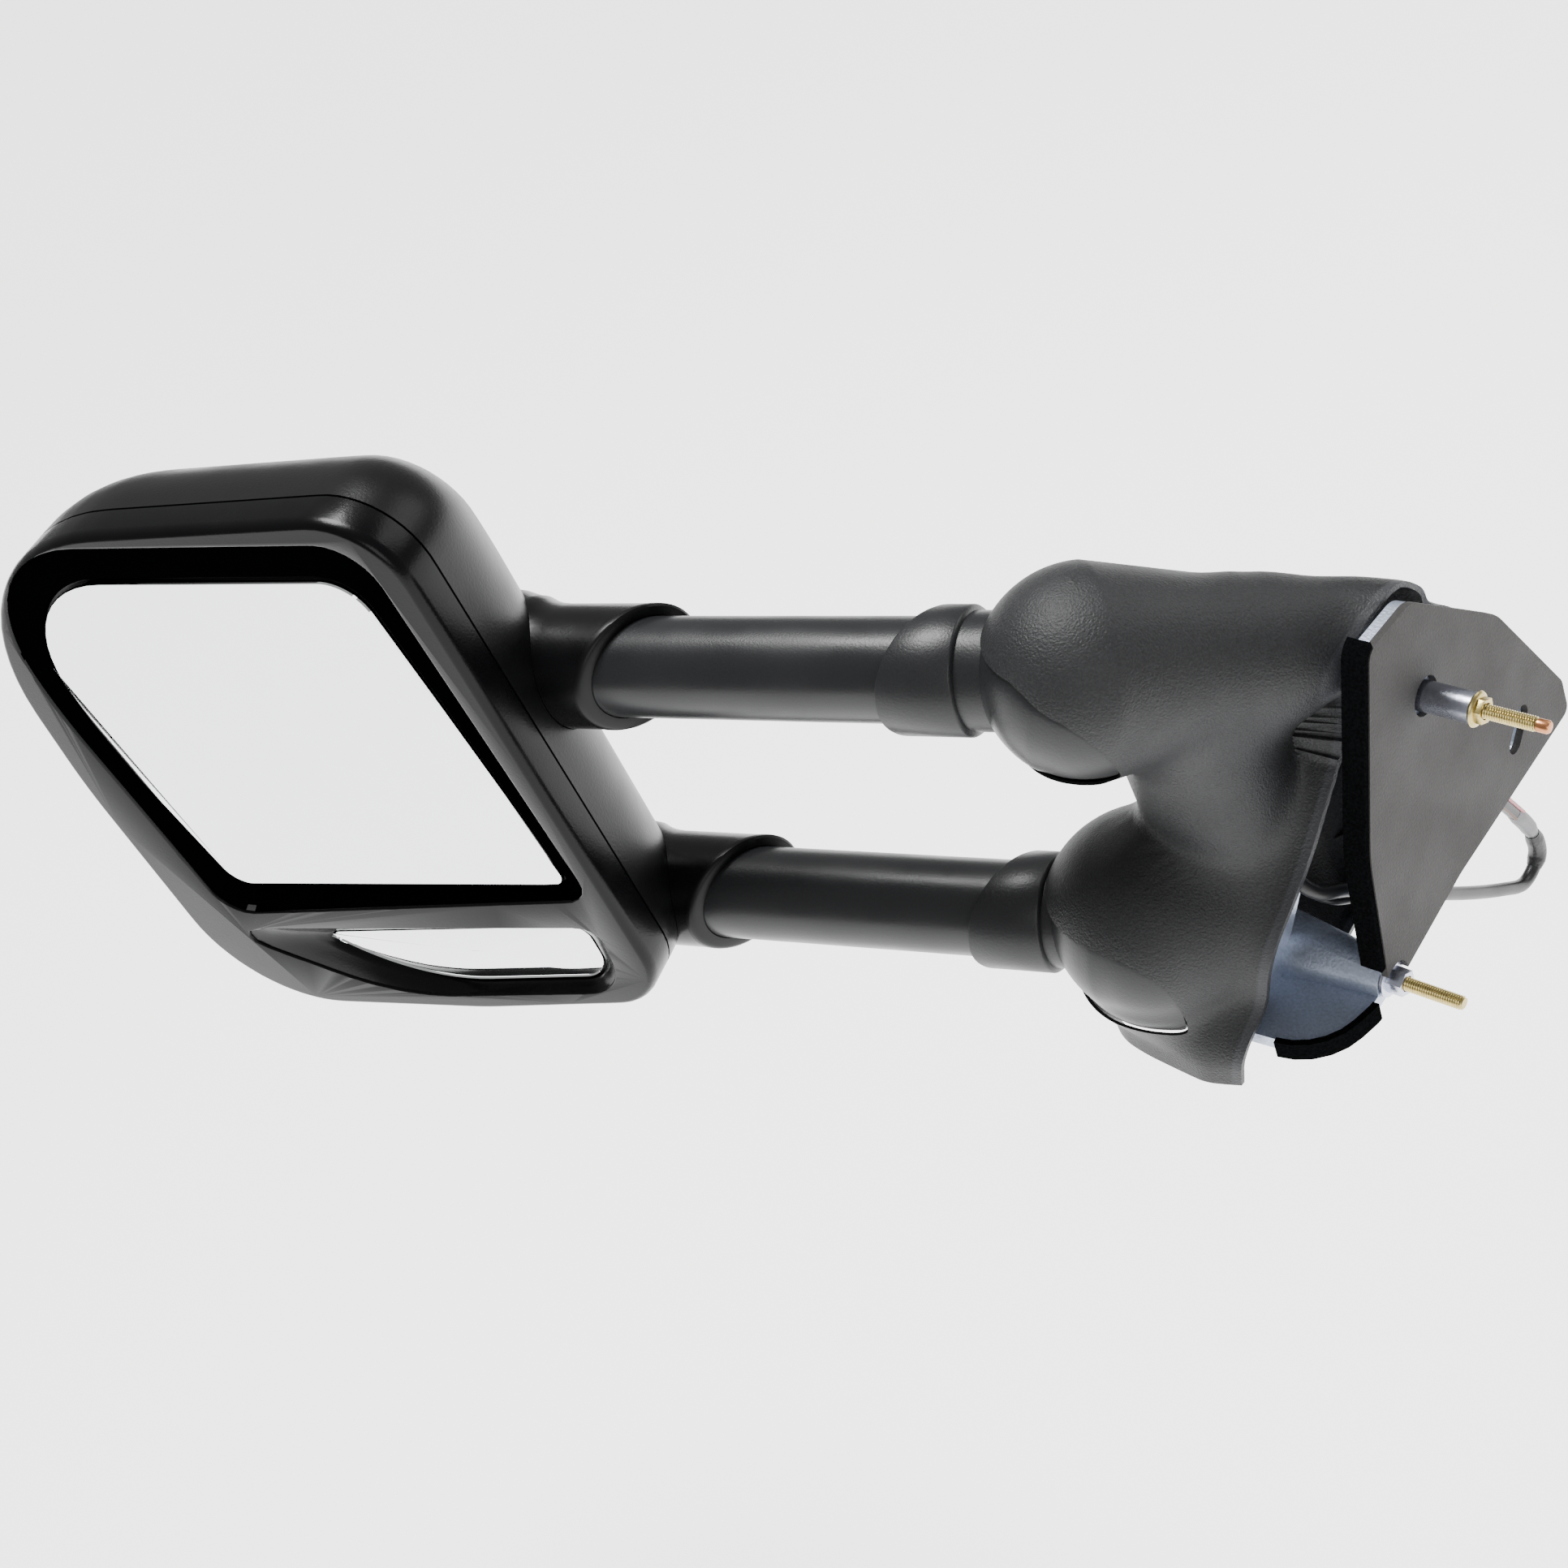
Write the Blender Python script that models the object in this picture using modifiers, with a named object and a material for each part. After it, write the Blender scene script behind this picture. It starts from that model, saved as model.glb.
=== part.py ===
"""Left-hand towing mirror: door bracket, two telescoping arms and a two-glass mirror head.

Row frame, metres: the origin lies on the inboard face of the door gasket, +X points inboard
(into the door), +Y points to the front of the vehicle and +Z is up.
Arm frame: origin on the fold axis, -X runs outboard along the arms, -Y is the side the glass
faces. The arm frame is turned about Z by SWING from the row frame.
"""
import math

import bmesh
import bpy
import numpy as np
from mathutils import Matrix, Vector

# ---------------------------------------------------------------- driving dimensions (metres)
GAP = 0.0003                       # running gap between pieces that touch
SWING = math.radians(18.5)         # arms point this far to the rear of straight outboard
FOLD = Vector((-0.088, -0.074, 0))  # fold axis, vertical, in the row frame
UPPER_Z = 0.106                    # height of the upper arm
LOWER_Z = -0.030                   # height of the lower arm
TUBE_R = 0.021
TUBE_WALL = 0.002
TUBE_ROOT = -0.030                 # inboard end of a tube, in the arm frame
TUBE_TIP = -0.262                  # outboard end of a tube, in the arm frame
COLLAR_R = 0.0255
NECK_R = 0.0228                    # the collar where it passes through the base cover
COLLAR_END = -0.065                # middle of the collar's oblique end
COLLAR_LEAN = 26                   # degrees from square
SLEEVE_R = 0.0262
SLEEVE_END = -0.194                # middle of the sleeve's oblique end
SLEEVE_ROOT = -0.300               # its inboard end, inside the head
BUSH = (-0.2360, -0.2680)          # the guide bush in the sleeve
BUSH_R = 0.0232
PIN_R = 0.006

LOBES = {                          # height, radius of the knuckle's ball, its roundness
    "upper": (UPPER_Z, 0.0375, 1.000),
    "lower": (LOWER_Z, 0.0392, 0.920),
}
COVER_WALL = 0.0022

STUD_UPPER = (0.005, 0.053)        # (y, z) of the upper stud
STUD_LOWER = (-0.0467, -0.0553)    # (y, z) of the lower stud
STUD_R = 0.003
GASKET_T = 0.003
FOAM_T = 0.0031

RIM_Y = -0.054                     # front plane of the head's bezel, in the arm frame
SEAM_Y = -0.036                    # joint between bezel and back shell
HEAD_DEPTH = 0.084                 # back shell, seam to back
SEAM_BAND = 0.004                  # straight band of the shell at the seam
GLASS_T = 0.003
GLASS_Y = -0.048                   # front of the main glass
SPOT_Y = -0.0475                   # front of the spotter lens
HOLDER_T = 0.003
GLASS_PIVOT = (-0.376, -0.0375, 0.060)
SPOT_PIVOT = (-0.326, -0.0365, -0.034)

# ---------------------------------------------------------------- scene set-up
for old in list(bpy.data.objects):
    bpy.data.objects.remove(old, do_unlink=True)

PARTS = bpy.data.collections.new("towing_mirror")
CUTTERS = bpy.data.collections.new("cutters")
for collection in (PARTS, CUTTERS):
    bpy.context.scene.collection.children.link(collection)


def material(name, colour, roughness, metallic=0.0):
    """A Principled material in one colour."""
    made = bpy.data.materials.new(name)
    made.use_nodes = True
    shader = made.node_tree.nodes["Principled BSDF"]
    shader.inputs["Base Color"].default_value = (*colour, 1)
    shader.inputs["Roughness"].default_value = roughness
    shader.inputs["Metallic"].default_value = metallic
    return made


GRAINED = material("grained_plastic", (0.07, 0.07, 0.072), 0.6)
SATIN = material("satin_plastic", (0.015, 0.015, 0.017), 0.35)
TUBE = material("tube_finish", (0.045, 0.047, 0.05), 0.4)
BLACK = material("black_plastic", (0.01, 0.01, 0.01), 0.5)
MIRROR = material("mirror_glass", (0.85, 0.86, 0.87), 0.05, 1.0)
CAST = material("die_cast", (0.45, 0.48, 0.55), 0.35, 0.9)
ZINC = material("bright_zinc", (0.6, 0.62, 0.7), 0.25, 1.0)
GOLD = material("yellow_zinc", (0.55, 0.47, 0.2), 0.3, 1.0)
RUBBER = material("gasket_rubber", (0.07, 0.068, 0.067), 0.8)
FOAM = material("edge_foam", (0.015, 0.016, 0.018), 0.9)
TAPE = material("harness_tape", (0.012, 0.012, 0.013), 0.5)
STEEL = material("spring_steel", (0.4, 0.4, 0.42), 0.35, 1.0)


# ---------------------------------------------------------------- modelling helpers
def place(thing, parent=None, finish=None, collection=PARTS):
    """Link an object, give it its parent empty and its material, and shade it smooth."""
    collection.objects.link(thing)
    thing.parent = parent
    if finish:
        thing.data.materials.append(finish)
        thing.data.shade_smooth()
        thing.data.set_sharp_from_angle(angle=math.radians(35))
    return thing


def mesh_object(name, shape, parent=None, finish=None, collection=PARTS):
    """A bmesh as an object."""
    bmesh.ops.recalc_face_normals(shape, faces=shape.faces)
    data = bpy.data.meshes.new(name)
    shape.to_mesh(data)
    shape.free()
    return place(bpy.data.objects.new(name, data), parent, finish, collection)


def hide_as_cutter(thing):
    thing.hide_render = True
    thing.display_type = "WIRE"
    return thing


def boolean(thing, other, operation):
    """Join, cut or keep the overlap of two solids, as a modifier."""
    step = thing.modifiers.new(operation.lower(), "BOOLEAN")
    step.operation = operation
    step.solver = "EXACT"
    step.object = hide_as_cutter(other)
    return thing


def cut(thing, *others):
    for other in others:
        boolean(thing, other, "DIFFERENCE")
    return thing


def join(thing, *others):
    for other in others:
        boolean(thing, other, "UNION")
    return thing


def box(name, low, high, parent=None, finish=None, collection=CUTTERS):
    """An axis-aligned block between two corners of the parent's frame."""
    low, high = Vector(low), Vector(high)
    shape = bmesh.new()
    size = Matrix.Diagonal((*(high - low), 1))
    bmesh.ops.create_cube(shape, size=1, matrix=Matrix.Translation((low + high) / 2) @ size)
    return mesh_object(name, shape, parent, finish, collection)


def rod(name, start, end, radius, end_radius=None, sides=24, parent=None, finish=None,
        collection=CUTTERS):
    """A cylinder or cone between two points of the parent's frame."""
    start, end = Vector(start), Vector(end)
    along = end - start
    turn = along.to_track_quat("Z", "Y").to_matrix().to_4x4()
    shape = bmesh.new()
    bmesh.ops.create_cone(
        shape, cap_ends=True, segments=sides, radius1=radius,
        radius2=radius if end_radius is None else end_radius, depth=along.length,
        matrix=Matrix.Translation((start + end) / 2) @ turn)
    return mesh_object(name, shape, parent, finish, collection)


def turned(name, profile, origin, axis, sides=24, parent=None, finish=None, collection=PARTS,
           closed=True):
    """(along, radius) points, top of the outer side first, turned about an axis by a Screw."""
    data = bpy.data.meshes.new(name)
    count = len(profile)
    edges = [(i, (i + 1) % count) for i in range(count if closed else count - 1)]
    data.from_pydata([(r, 0, a) for a, r in profile], edges, [])
    thing = place(bpy.data.objects.new(name, data), parent, None, collection)
    if finish:
        data.materials.append(finish)
    thing.location = Vector(origin)
    thing.rotation_mode = "QUATERNION"
    thing.rotation_quaternion = Vector(axis).to_track_quat("Z", "Y")
    screw = thing.modifiers.new("turn", "SCREW")
    screw.axis = "Z"
    screw.steps = sides
    screw.render_steps = sides
    screw.use_merge_vertices = True
    screw.merge_threshold = 0.00001
    screw.use_smooth_shade = True
    return thing


def pipe(name, start, end, outer, inner, sides=24, parent=None, finish=None, collection=PARTS):
    """A plain tube between two points."""
    length = (Vector(end) - Vector(start)).length
    profile = [(length, outer), (0, outer), (0, inner), (length, inner)]
    axis = Vector(end) - Vector(start)
    return turned(name, profile, start, axis, sides, parent, finish, collection)


def rounded(corners, arc_steps=5):
    """A closed outline: corners (u, v, radius) in order, each replaced by an arc."""
    points = []
    count = len(corners)
    for i, (u, v, radius) in enumerate(corners):
        here = Vector((u, v))
        back = (Vector(corners[i - 1][:2]) - here).normalized()
        ahead = (Vector(corners[(i + 1) % count][:2]) - here).normalized()
        if radius == 0:
            points.append(here)
            continue
        half = back.angle(ahead) / 2
        centre = here + (back + ahead).normalized() * radius / math.sin(half)
        first = here + back * radius / math.tan(half) - centre
        sweep = first.angle_signed(here + ahead * radius / math.tan(half) - centre)
        for step in range(arc_steps + 1):
            turn = Matrix.Rotation(-sweep * step / arc_steps, 2)
            points.append(centre + turn @ first)
    return [(p.x, p.y) for p in points]


def around(outline, centre, count):
    """The outline read at equal angles about a point inside it."""
    found = []
    loop = [np.array(p) - np.array(centre) for p in outline]
    for step in range(count):
        angle = 2 * math.pi * step / count
        ray = np.array((math.cos(angle), math.sin(angle)))
        best = 0.0
        for p, q in zip(loop, loop[1:] + loop[:1]):
            edge = q - p
            cross = ray[0] * edge[1] - ray[1] * edge[0]
            if abs(cross) < 1e-12:
                continue
            reach = (p[0] * edge[1] - p[1] * edge[0]) / cross
            share = (p[0] * ray[1] - p[1] * ray[0]) / cross
            if reach > 0 and -1e-9 <= share <= 1 + 1e-9:
                best = max(best, reach)
        found.append(np.array(centre) + best * ray)
    return np.array(found)


def inset(outline, distance):
    """A closed outline moved inwards by a distance, corner by corner."""
    points = [Vector(p) for p in outline]
    area = sum(p.x * q.y - q.x * p.y for p, q in zip(points, points[1:] + points[:1]))
    side = 1 if area > 0 else -1
    moved = []
    for i, here in enumerate(points):
        before = (here - points[i - 1]).normalized()
        after = (points[(i + 1) % len(points)] - here).normalized()
        normal = Vector((-before.y - after.y, before.x + after.x)).normalized() * side
        shrink = max(0.3, abs(normal.dot(Vector((-after.y, after.x)))))
        moved.append(tuple(here + normal * distance / shrink))
    return moved


def loft(name, rings, parent=None, finish=None, collection=PARTS, capped=True):
    """Rings of equal point counts skinned in order, closed at both ends when capped."""
    shape = bmesh.new()
    made = [[shape.verts.new(Vector(p)) for p in ring] for ring in rings]
    for here, there in zip(made, made[1:]):
        for i in range(len(here)):
            j = (i + 1) % len(here)
            shape.faces.new((here[i], here[j], there[j], there[i]))
    shape.faces.new(made[-1])
    if capped:
        shape.faces.new(list(reversed(made[0])))
    return mesh_object(name, shape, parent, finish, collection)


def plate_x(name, outline, low_x, high_x, parent=None, finish=None, collection=PARTS):
    """A (y, z) outline extruded between two x planes."""
    rings = [[(x, y, z) for y, z in outline] for x in (low_x, high_x)]
    return loft(name, rings, parent, finish, collection)


def plate_y(name, outline, low_y, high_y, parent=None, finish=None, collection=PARTS):
    """An (x, z) outline extruded between two y planes."""
    rings = [[(x, y, z) for x, z in outline] for y in (low_y, high_y)]
    return loft(name, rings, parent, finish, collection)


def plate_z(name, outline, low_z, high_z, parent=None, finish=None, collection=PARTS):
    """An (x, y) outline extruded between two z planes."""
    rings = [[(x, y, z) for x, y in outline] for z in (low_z, high_z)]
    return loft(name, rings, parent, finish, collection)


def solidify(thing, thickness, offset=-1):
    step = thing.modifiers.new("wall", "SOLIDIFY")
    step.thickness = thickness
    step.offset = offset
    step.use_even_offset = True
    return thing


def hexagon(name, start, end, across, parent=None, finish=None, collection=PARTS):
    """A hexagonal bar, sized across its flats."""
    return rod(name, start, end, across / math.sqrt(3), sides=6, parent=parent, finish=finish,
               collection=collection)


def smooth_curve(points, count):
    """Catmull-Rom curve through the points, as count + 1 points."""
    path = [Vector(p) for p in points]
    path = [2 * path[0] - path[1]] + path + [2 * path[-1] - path[-2]]
    spans = len(path) - 3
    found = []
    for step in range(count + 1):
        place_on = min(step * spans / count, spans - 1e-9)
        k = int(place_on)
        t = place_on - k
        a, b, c, d = path[k:k + 4]
        found.append(0.5 * (2 * b + (c - a) * t + (2 * a - 5 * b + 4 * c - d) * t ** 2
                            + (3 * b - a - 3 * c + d) * t ** 3))
    return found


def wire(name, points, radius, count, finish, resolution=2, parent=None):
    """A cord along a smooth curve, with filled ends."""
    curve = bpy.data.curves.new(name, "CURVE")
    curve.dimensions = "3D"
    curve.bevel_depth = radius
    curve.bevel_resolution = resolution
    curve.use_fill_caps = True
    spline = curve.splines.new("POLY")
    route = smooth_curve(points, count)
    spline.points.add(len(route) - 1)
    for knot, spot in zip(spline.points, route):
        knot.co = (*spot, 1)
    thing = bpy.data.objects.new(name, curve)
    PARTS.objects.link(thing)
    thing.parent = parent
    curve.materials.append(finish)
    return thing


def empty(name, location, parent=None, turn=0.0):
    thing = bpy.data.objects.new(name, None)
    bpy.context.scene.collection.objects.link(thing)
    thing.parent = parent
    thing.location = location
    thing.rotation_euler = (0, 0, turn)
    return thing


# ---------------------------------------------------------------- frames
fold_axis = empty("fold_axis", FOLD, turn=SWING)
head_slide = empty("head_slide", (0, 0, 0), fold_axis)
glass_pivot = empty("glass_pivot", GLASS_PIVOT, head_slide)
spot_pivot = empty("spot_pivot", SPOT_PIVOT, head_slide)
spine_frame = empty("spine_frame", FOLD, turn=SWING + math.radians(55))


# ---------------------------------------------------------------- door gasket and seal
def sail_outline():
    """The door gasket's outline in (y, z)."""
    return rounded([
        (-0.0525, -0.0590, 0.004), (0.0070, -0.0460, 0.030), (0.1010, -0.0380, 0.004),
        (0.0990, -0.0200, 0.010), (0.0590, 0.0490, 0.040), (0.0060, 0.0985, 0.012),
        (-0.0235, 0.0990, 0.006), (-0.0475, 0.0140, 0.080),
        (-0.0514, -0.0430, 0)])


def slot_outline(centre, width, height, lean):
    """A slot with round ends in (y, z), leaning forward by lean."""
    w, h = width / 2, height / 2
    turn = Matrix.Rotation(-lean, 2)
    corners = rounded([(-w, -h, w * 0.99), (w, -h, w * 0.99), (w, h, w * 0.99), (-w, h, w * 0.99)])
    return [tuple(Vector(centre) + turn @ Vector(p)) for p in corners]


def make_gasket():
    gasket = plate_x("mount_gasket", sail_outline(), -GASKET_T, 0, finish=RUBBER)
    y, z = STUD_UPPER
    hole = rod("gasket_hole_upper", (-0.01, y, z), (0.01, y, z), 0.0082)
    y, z = STUD_LOWER
    notch = rod("gasket_notch_lower", (-0.01, y, z), (0.01, y, z), 0.0085)
    slot = plate_x("gasket_slot", slot_outline((0.0625, -0.0155), 0.0095, 0.021, 0.7),
                   -0.02, 0.01, collection=CUTTERS)
    cut(gasket, hole, notch, slot)


def outline_run(outline, first, last):
    """The stretch of a closed outline between the points nearest to two given ones."""
    spots = [Vector(p) for p in outline]
    start, end = (min(range(len(spots)), key=lambda i: (spots[i] - Vector(p)).length)
                  for p in (first, last))
    count = (end - start) % len(spots)
    return [(start + i) % len(spots) for i in range(count + 1)]


def make_edge_seal():
    """Foam strip on the rear edge of the bracket foot."""
    outline = sail_outline()
    near, far = inset(outline, -GAP), inset(outline, -FOAM_T)
    rings = []
    for i in outline_run(outline, (-0.0210, 0.0988), (-0.0514, -0.0430)):
        (y0, z0), (y1, z1) = near[i], far[i]
        rings.append([(-0.0098, y0, z0), (-0.0004, y0, z0), (-0.0004, y1, z1), (-0.0098, y1, z1)])
    loft("edge_seal", rings, finish=FOAM)


def make_shelf_seal():
    """Foam strip round the edge of the bracket's shelf."""
    outline = shelf_outline()
    near, far = inset(outline, -GAP), inset(outline, -FOAM_T)
    low, high = SHELF_TOP - 0.0070, SHELF_TOP + 0.0020
    rings = []
    for i in outline_run(outline, (-0.0055, -0.0540), (-0.0330, -0.0900)):
        (x0, y0), (x1, y1) = near[i], far[i]
        rings.append([(x0, y0, low), (x0, y0, high), (x1, y1, high), (x1, y1, low)])
    loft("shelf_seal", rings, finish=FOAM)


# ---------------------------------------------------------------- die-cast bracket
SHELF_TOP = -0.0600
LUG_T = 0.004
HUB_HALF = 0.024


def shelf_outline():
    return rounded([
        (-0.0060, -0.0400, 0.0), (-0.0050, -0.0600, 0.012), (-0.0110, -0.0880, 0.026),
        (-0.0640, -0.0930, 0.012), (-0.0700, -0.0400, 0.0)])


def lug_outline():
    return rounded([(-0.0110, -0.0110, 0.0108), (0.0230, -0.0110, 0.0), (0.0230, 0.0110, 0.0),
                    (-0.0110, 0.0110, 0.0108)])


def make_bracket():
    foot = plate_x("base_bracket", inset(sail_outline(), 0.0006), -0.0078, -GASKET_T - GAP,
                   finish=CAST)
    y, z = STUD_LOWER
    cone = rod("bracket_cone", (-0.056, y, z), (-0.0040, y, z), 0.0150, 0.0085)
    shelf = plate_z("bracket_shelf", shelf_outline(), SHELF_TOP - 0.003, SHELF_TOP,
                    collection=CUTTERS)
    lip = plate_z("bracket_shelf_wall", shelf_outline(), SHELF_TOP - 0.0060, SHELF_TOP - 0.0025,
                  collection=CUTTERS)
    y, z = STUD_UPPER
    boss = rod("bracket_boss", (-0.055, y, z), (-0.0050, y, z), 0.0110)
    parts = [cone, shelf, lip, boss]
    for name, low, high, near, far, half in (
            ("upper", 0.0640, 0.1328, 0.0165, 0.0255, 0.0074),
            ("middle", -0.0100, 0.0740, 0.0238, 0.0400, 0.0070),
            ("lower", SHELF_TOP - 0.0024, 0.0000, 0.0175, 0.0304, 0.0082)):
        parts.append(box(f"bracket_spine_{name}", (near, -half, low), (far, half, high),
                         spine_frame))
    for height in (UPPER_Z, LOWER_Z):
        for side in (-1, 1):
            low = height + side * (HUB_HALF + GAP + LUG_T / 2) - LUG_T / 2
            parts.append(plate_z(f"bracket_lug_{len(parts)}", lug_outline(), low, low + LUG_T,
                                 spine_frame, collection=CUTTERS))
    web = loft("bracket_web", [
        [(-0.0300, 0.0150, 0.0460), (-0.0300, 0.0150, 0.0600), (-0.0300, -0.0150, 0.0600),
         (-0.0300, -0.0150, 0.0460)],
        [(-0.0770, -0.0360, 0.0460), (-0.0770, -0.0360, 0.0600), (-0.0770, -0.0490, 0.0600),
         (-0.0770, -0.0490, 0.0460)]], collection=CUTTERS)
    base = loft("bracket_base_web", [
        [(-0.0600, -0.0930, SHELF_TOP - 0.003), (-0.0600, -0.0930, SHELF_TOP),
         (-0.0600, -0.0400, SHELF_TOP), (-0.0600, -0.0400, SHELF_TOP - 0.003)],
        [(-0.0850, -0.0560, SHELF_TOP - 0.003), (-0.0850, -0.0560, SHELF_TOP),
         (-0.0850, -0.0340, SHELF_TOP), (-0.0850, -0.0340, SHELF_TOP - 0.003)]],
        collection=CUTTERS)
    bar = loft("bracket_bar", [
        [(-0.0520, -0.0730, -0.0610), (-0.0460, -0.0730, -0.0610), (-0.0460, -0.0610, -0.0610),
         (-0.0520, -0.0610, -0.0610)],
        [(-0.0360, -0.0180, 0.0480), (-0.0300, -0.0180, 0.0480), (-0.0300, -0.0060, 0.0480),
         (-0.0360, -0.0060, 0.0480)]], collection=CUTTERS)
    parts += [web, base, bar]
    join(foot, *parts)
    for name, (y, z), radius in (("upper", STUD_UPPER, 0.0033), ("lower", STUD_LOWER, 0.0033)):
        cut(foot, rod(f"bore_stud_{name}", (-0.030, y, z), (0.005, y, z), radius))
    slot = plate_x("bracket_slot", slot_outline((0.0625, -0.0155), 0.0105, 0.022, 0.7),
                   -0.02, 0.01, collection=CUTTERS)
    pins = rod("bore_pivot", (0, 0, -0.10), (0, 0, 0.16), PIN_R + GAP, parent=fold_axis)
    window = plate_x("bracket_window", rounded([
        (-0.020, -0.034, 0.006), (0.045, -0.030, 0.006), (0.040, 0.020, 0.006),
        (-0.020, 0.020, 0.006)]), -0.02, -GASKET_T - 0.0022, collection=CUTTERS)
    cut(foot, slot, pins, window)


# ---------------------------------------------------------------- base cover
BODY = [                            # round cones (start, radius, end, radius) blended into one skin
    ((-0.0880, -0.0740, 0.1060), 0.0420, (-0.0500, -0.0260, 0.0855), 0.0285),
    ((-0.0500, -0.0260, 0.0855), 0.0285, (-0.0140, 0.0150, 0.0835), 0.0145),
    ((-0.0540, 0.0040, 0.0580), 0.0290, (-0.0300, 0.0300, 0.0380), 0.0290),
    ((-0.0910, -0.0745, -0.0285), 0.0465, (-0.0560, -0.0400, -0.0340), 0.0380),
    ((-0.0690, -0.0450, 0.0640), 0.0325, (-0.0690, -0.0330, -0.0400), 0.0340),
    ((-0.0180, 0.0100, 0.0740), 0.0145, (-0.0560, -0.0730, -0.0660), 0.0195),
    ((-0.0900, -0.0820, -0.0600), 0.0240, (-0.0600, -0.0850, -0.0720), 0.0230),
    ((-0.0500, 0.0000, 0.0000), 0.0340, (-0.0360, 0.0700, -0.0200), 0.0240),
    ((-0.0180, 0.0200, 0.0500), 0.0200, (-0.0300, 0.0000, -0.0300), 0.0280)]
BLEND = 0.012
DOOR_EDGE = (-0.0085, 0.0120, 0.1040)  # a point of the plane that the cover's door side lies in
DOOR_NORMAL = Vector((0.9876, -0.0600, -0.1449)).normalized()
FLARE = 0.003                       # how far the skin flares out at that plane
FLARE_WIDTH = 0.012
FRONT_EDGE = (-0.0080, 0.0115, 0.1045)  # a point of the slope at the front of the skin
FRONT_NORMAL = Vector((0, 0.747, 0.665)).normalized()
FRONT_BLEND = 0.006
COVER_TOP = 0.1479                  # crown of the upper lobe
COVER_SKIRT = -0.0700               # the walls run straight down from here
COVER_LOW = -0.0900
COVER_SIDES = 32
CORE = [                            # (z, x, y) of points inside the cover, bottom to top
    (-0.0700, -0.068, -0.080), (-0.0450, -0.068, -0.062), (0.0400, -0.056, -0.030),
    (0.1060, -0.078, -0.060), (0.1600, -0.088, -0.073)]


def body_distance(points):
    """Distance from points to the blended skin of BODY, negative inside."""
    total = None
    for start, r0, end, r1 in BODY:
        a, b = np.array(start), np.array(end)
        share = np.clip((points - a) @ (b - a) / ((b - a) @ (b - a)), 0, 1)[:, None]
        gap = np.linalg.norm(points - a - share * (b - a), axis=1)
        gap = gap - (r0 + (r1 - r0) * share[:, 0])
        if total is None:
            total = gap
            continue
        mix = np.clip(0.5 + 0.5 * (total - gap) / BLEND, 0, 1)
        total = total * (1 - mix) + gap * mix - BLEND * mix * (1 - mix)
    inset_from_door = (np.array(DOOR_EDGE) - points) @ np.array(DOOR_NORMAL)
    total = total - FLARE * np.clip(1 - inset_from_door / FLARE_WIDTH, 0, 1.3) ** 2
    slope = (points - np.array(FRONT_EDGE)) @ np.array(FRONT_NORMAL)
    mix = np.clip(0.5 + 0.5 * (slope - total) / FRONT_BLEND, 0, 1)
    return total * (1 - mix) + slope * mix + FRONT_BLEND * mix * (1 - mix)


def skin_slice(height, count, depth):
    """Level section of the skin, or of a layer at a depth below it, seen from the core."""
    core = np.array([np.interp(height, [c[0] for c in CORE], [c[axis] for c in CORE])
                     for axis in (1, 2)])
    angles = 2 * math.pi * np.arange(count) / count
    rays = np.stack([np.cos(angles), np.sin(angles)], axis=1)
    reach = np.full(count, 0.25)
    level = np.full((count, 1), max(height, COVER_SKIRT))
    for _ in range(90):
        spots = np.hstack([core + rays * reach[:, None], level])
        reach = np.maximum(reach - 0.8 * (body_distance(spots) + depth), 0.0005)
    return [(x, y, height) for x, y in core + rays * reach[:, None]]


def cover_solid(name, depth, finish=None, collection=CUTTERS):
    """The cover's outer form, or the hollow at a depth inside it, as level sections."""
    high = COVER_TOP - depth
    levels = [COVER_LOW + (COVER_TOP - COVER_LOW) * (1 - (1 - step / 22) ** 1.4)
              for step in range(23)]
    levels = [COVER_LOW - 2 * depth] + [z for z in levels[1:] if z < high - 0.0003] + [high]
    rings = [skin_slice(z, COVER_SIDES, depth) for z in levels]
    return loft(name, rings, None, finish, collection)


SLOT = [                            # (degrees from the arm to the glass side, low, high)
    (0, -0.0240, 0.0238), (45, -0.0262, 0.0238), (65, -0.0278, 0.0236), (76, -0.0295, 0.0210),
    (87, -0.0315, 0.0145), (96, -0.0320, 0.0080), (101.5, -0.0312, 0.0012),
    (106, -0.0296, -0.0048), (110, -0.0258, -0.0135), (110.8, -0.0222, -0.0178)]


def slot_cutter(name, height, near, far):
    """A wedge round the fold axis with the fold slot's outline, from one radius to another."""
    rings = []
    for (a0, low0, high0), (a1, low1, high1) in zip(SLOT, SLOT[1:]):
        pieces = max(1, round((a1 - a0) / 7))
        for i in range(pieces):
            share = i / pieces
            rings.append(slot_section(a0 + (a1 - a0) * share, low0 + (low1 - low0) * share,
                                      high0 + (high1 - high0) * share, height, near, far))
    rings.append(slot_section(*SLOT[-1], height, near, far))
    return loft(name, rings, fold_axis, collection=CUTTERS)


def slot_section(degrees, low, high, height, near, far):
    """The slot wedge's section at one angle."""
    section = []
    for radius, z in ((near, low), (far, low), (far, high), (near, high)):
        section.append((*arc_point(radius, degrees), height + z))
    return section


def facing(name, location, normal):
    """A frame at a point whose z axis runs along a direction."""
    thing = empty(name, location)
    thing.rotation_mode = "QUATERNION"
    thing.rotation_quaternion = Vector(normal).to_track_quat("Z", "Y")
    return thing


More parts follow.
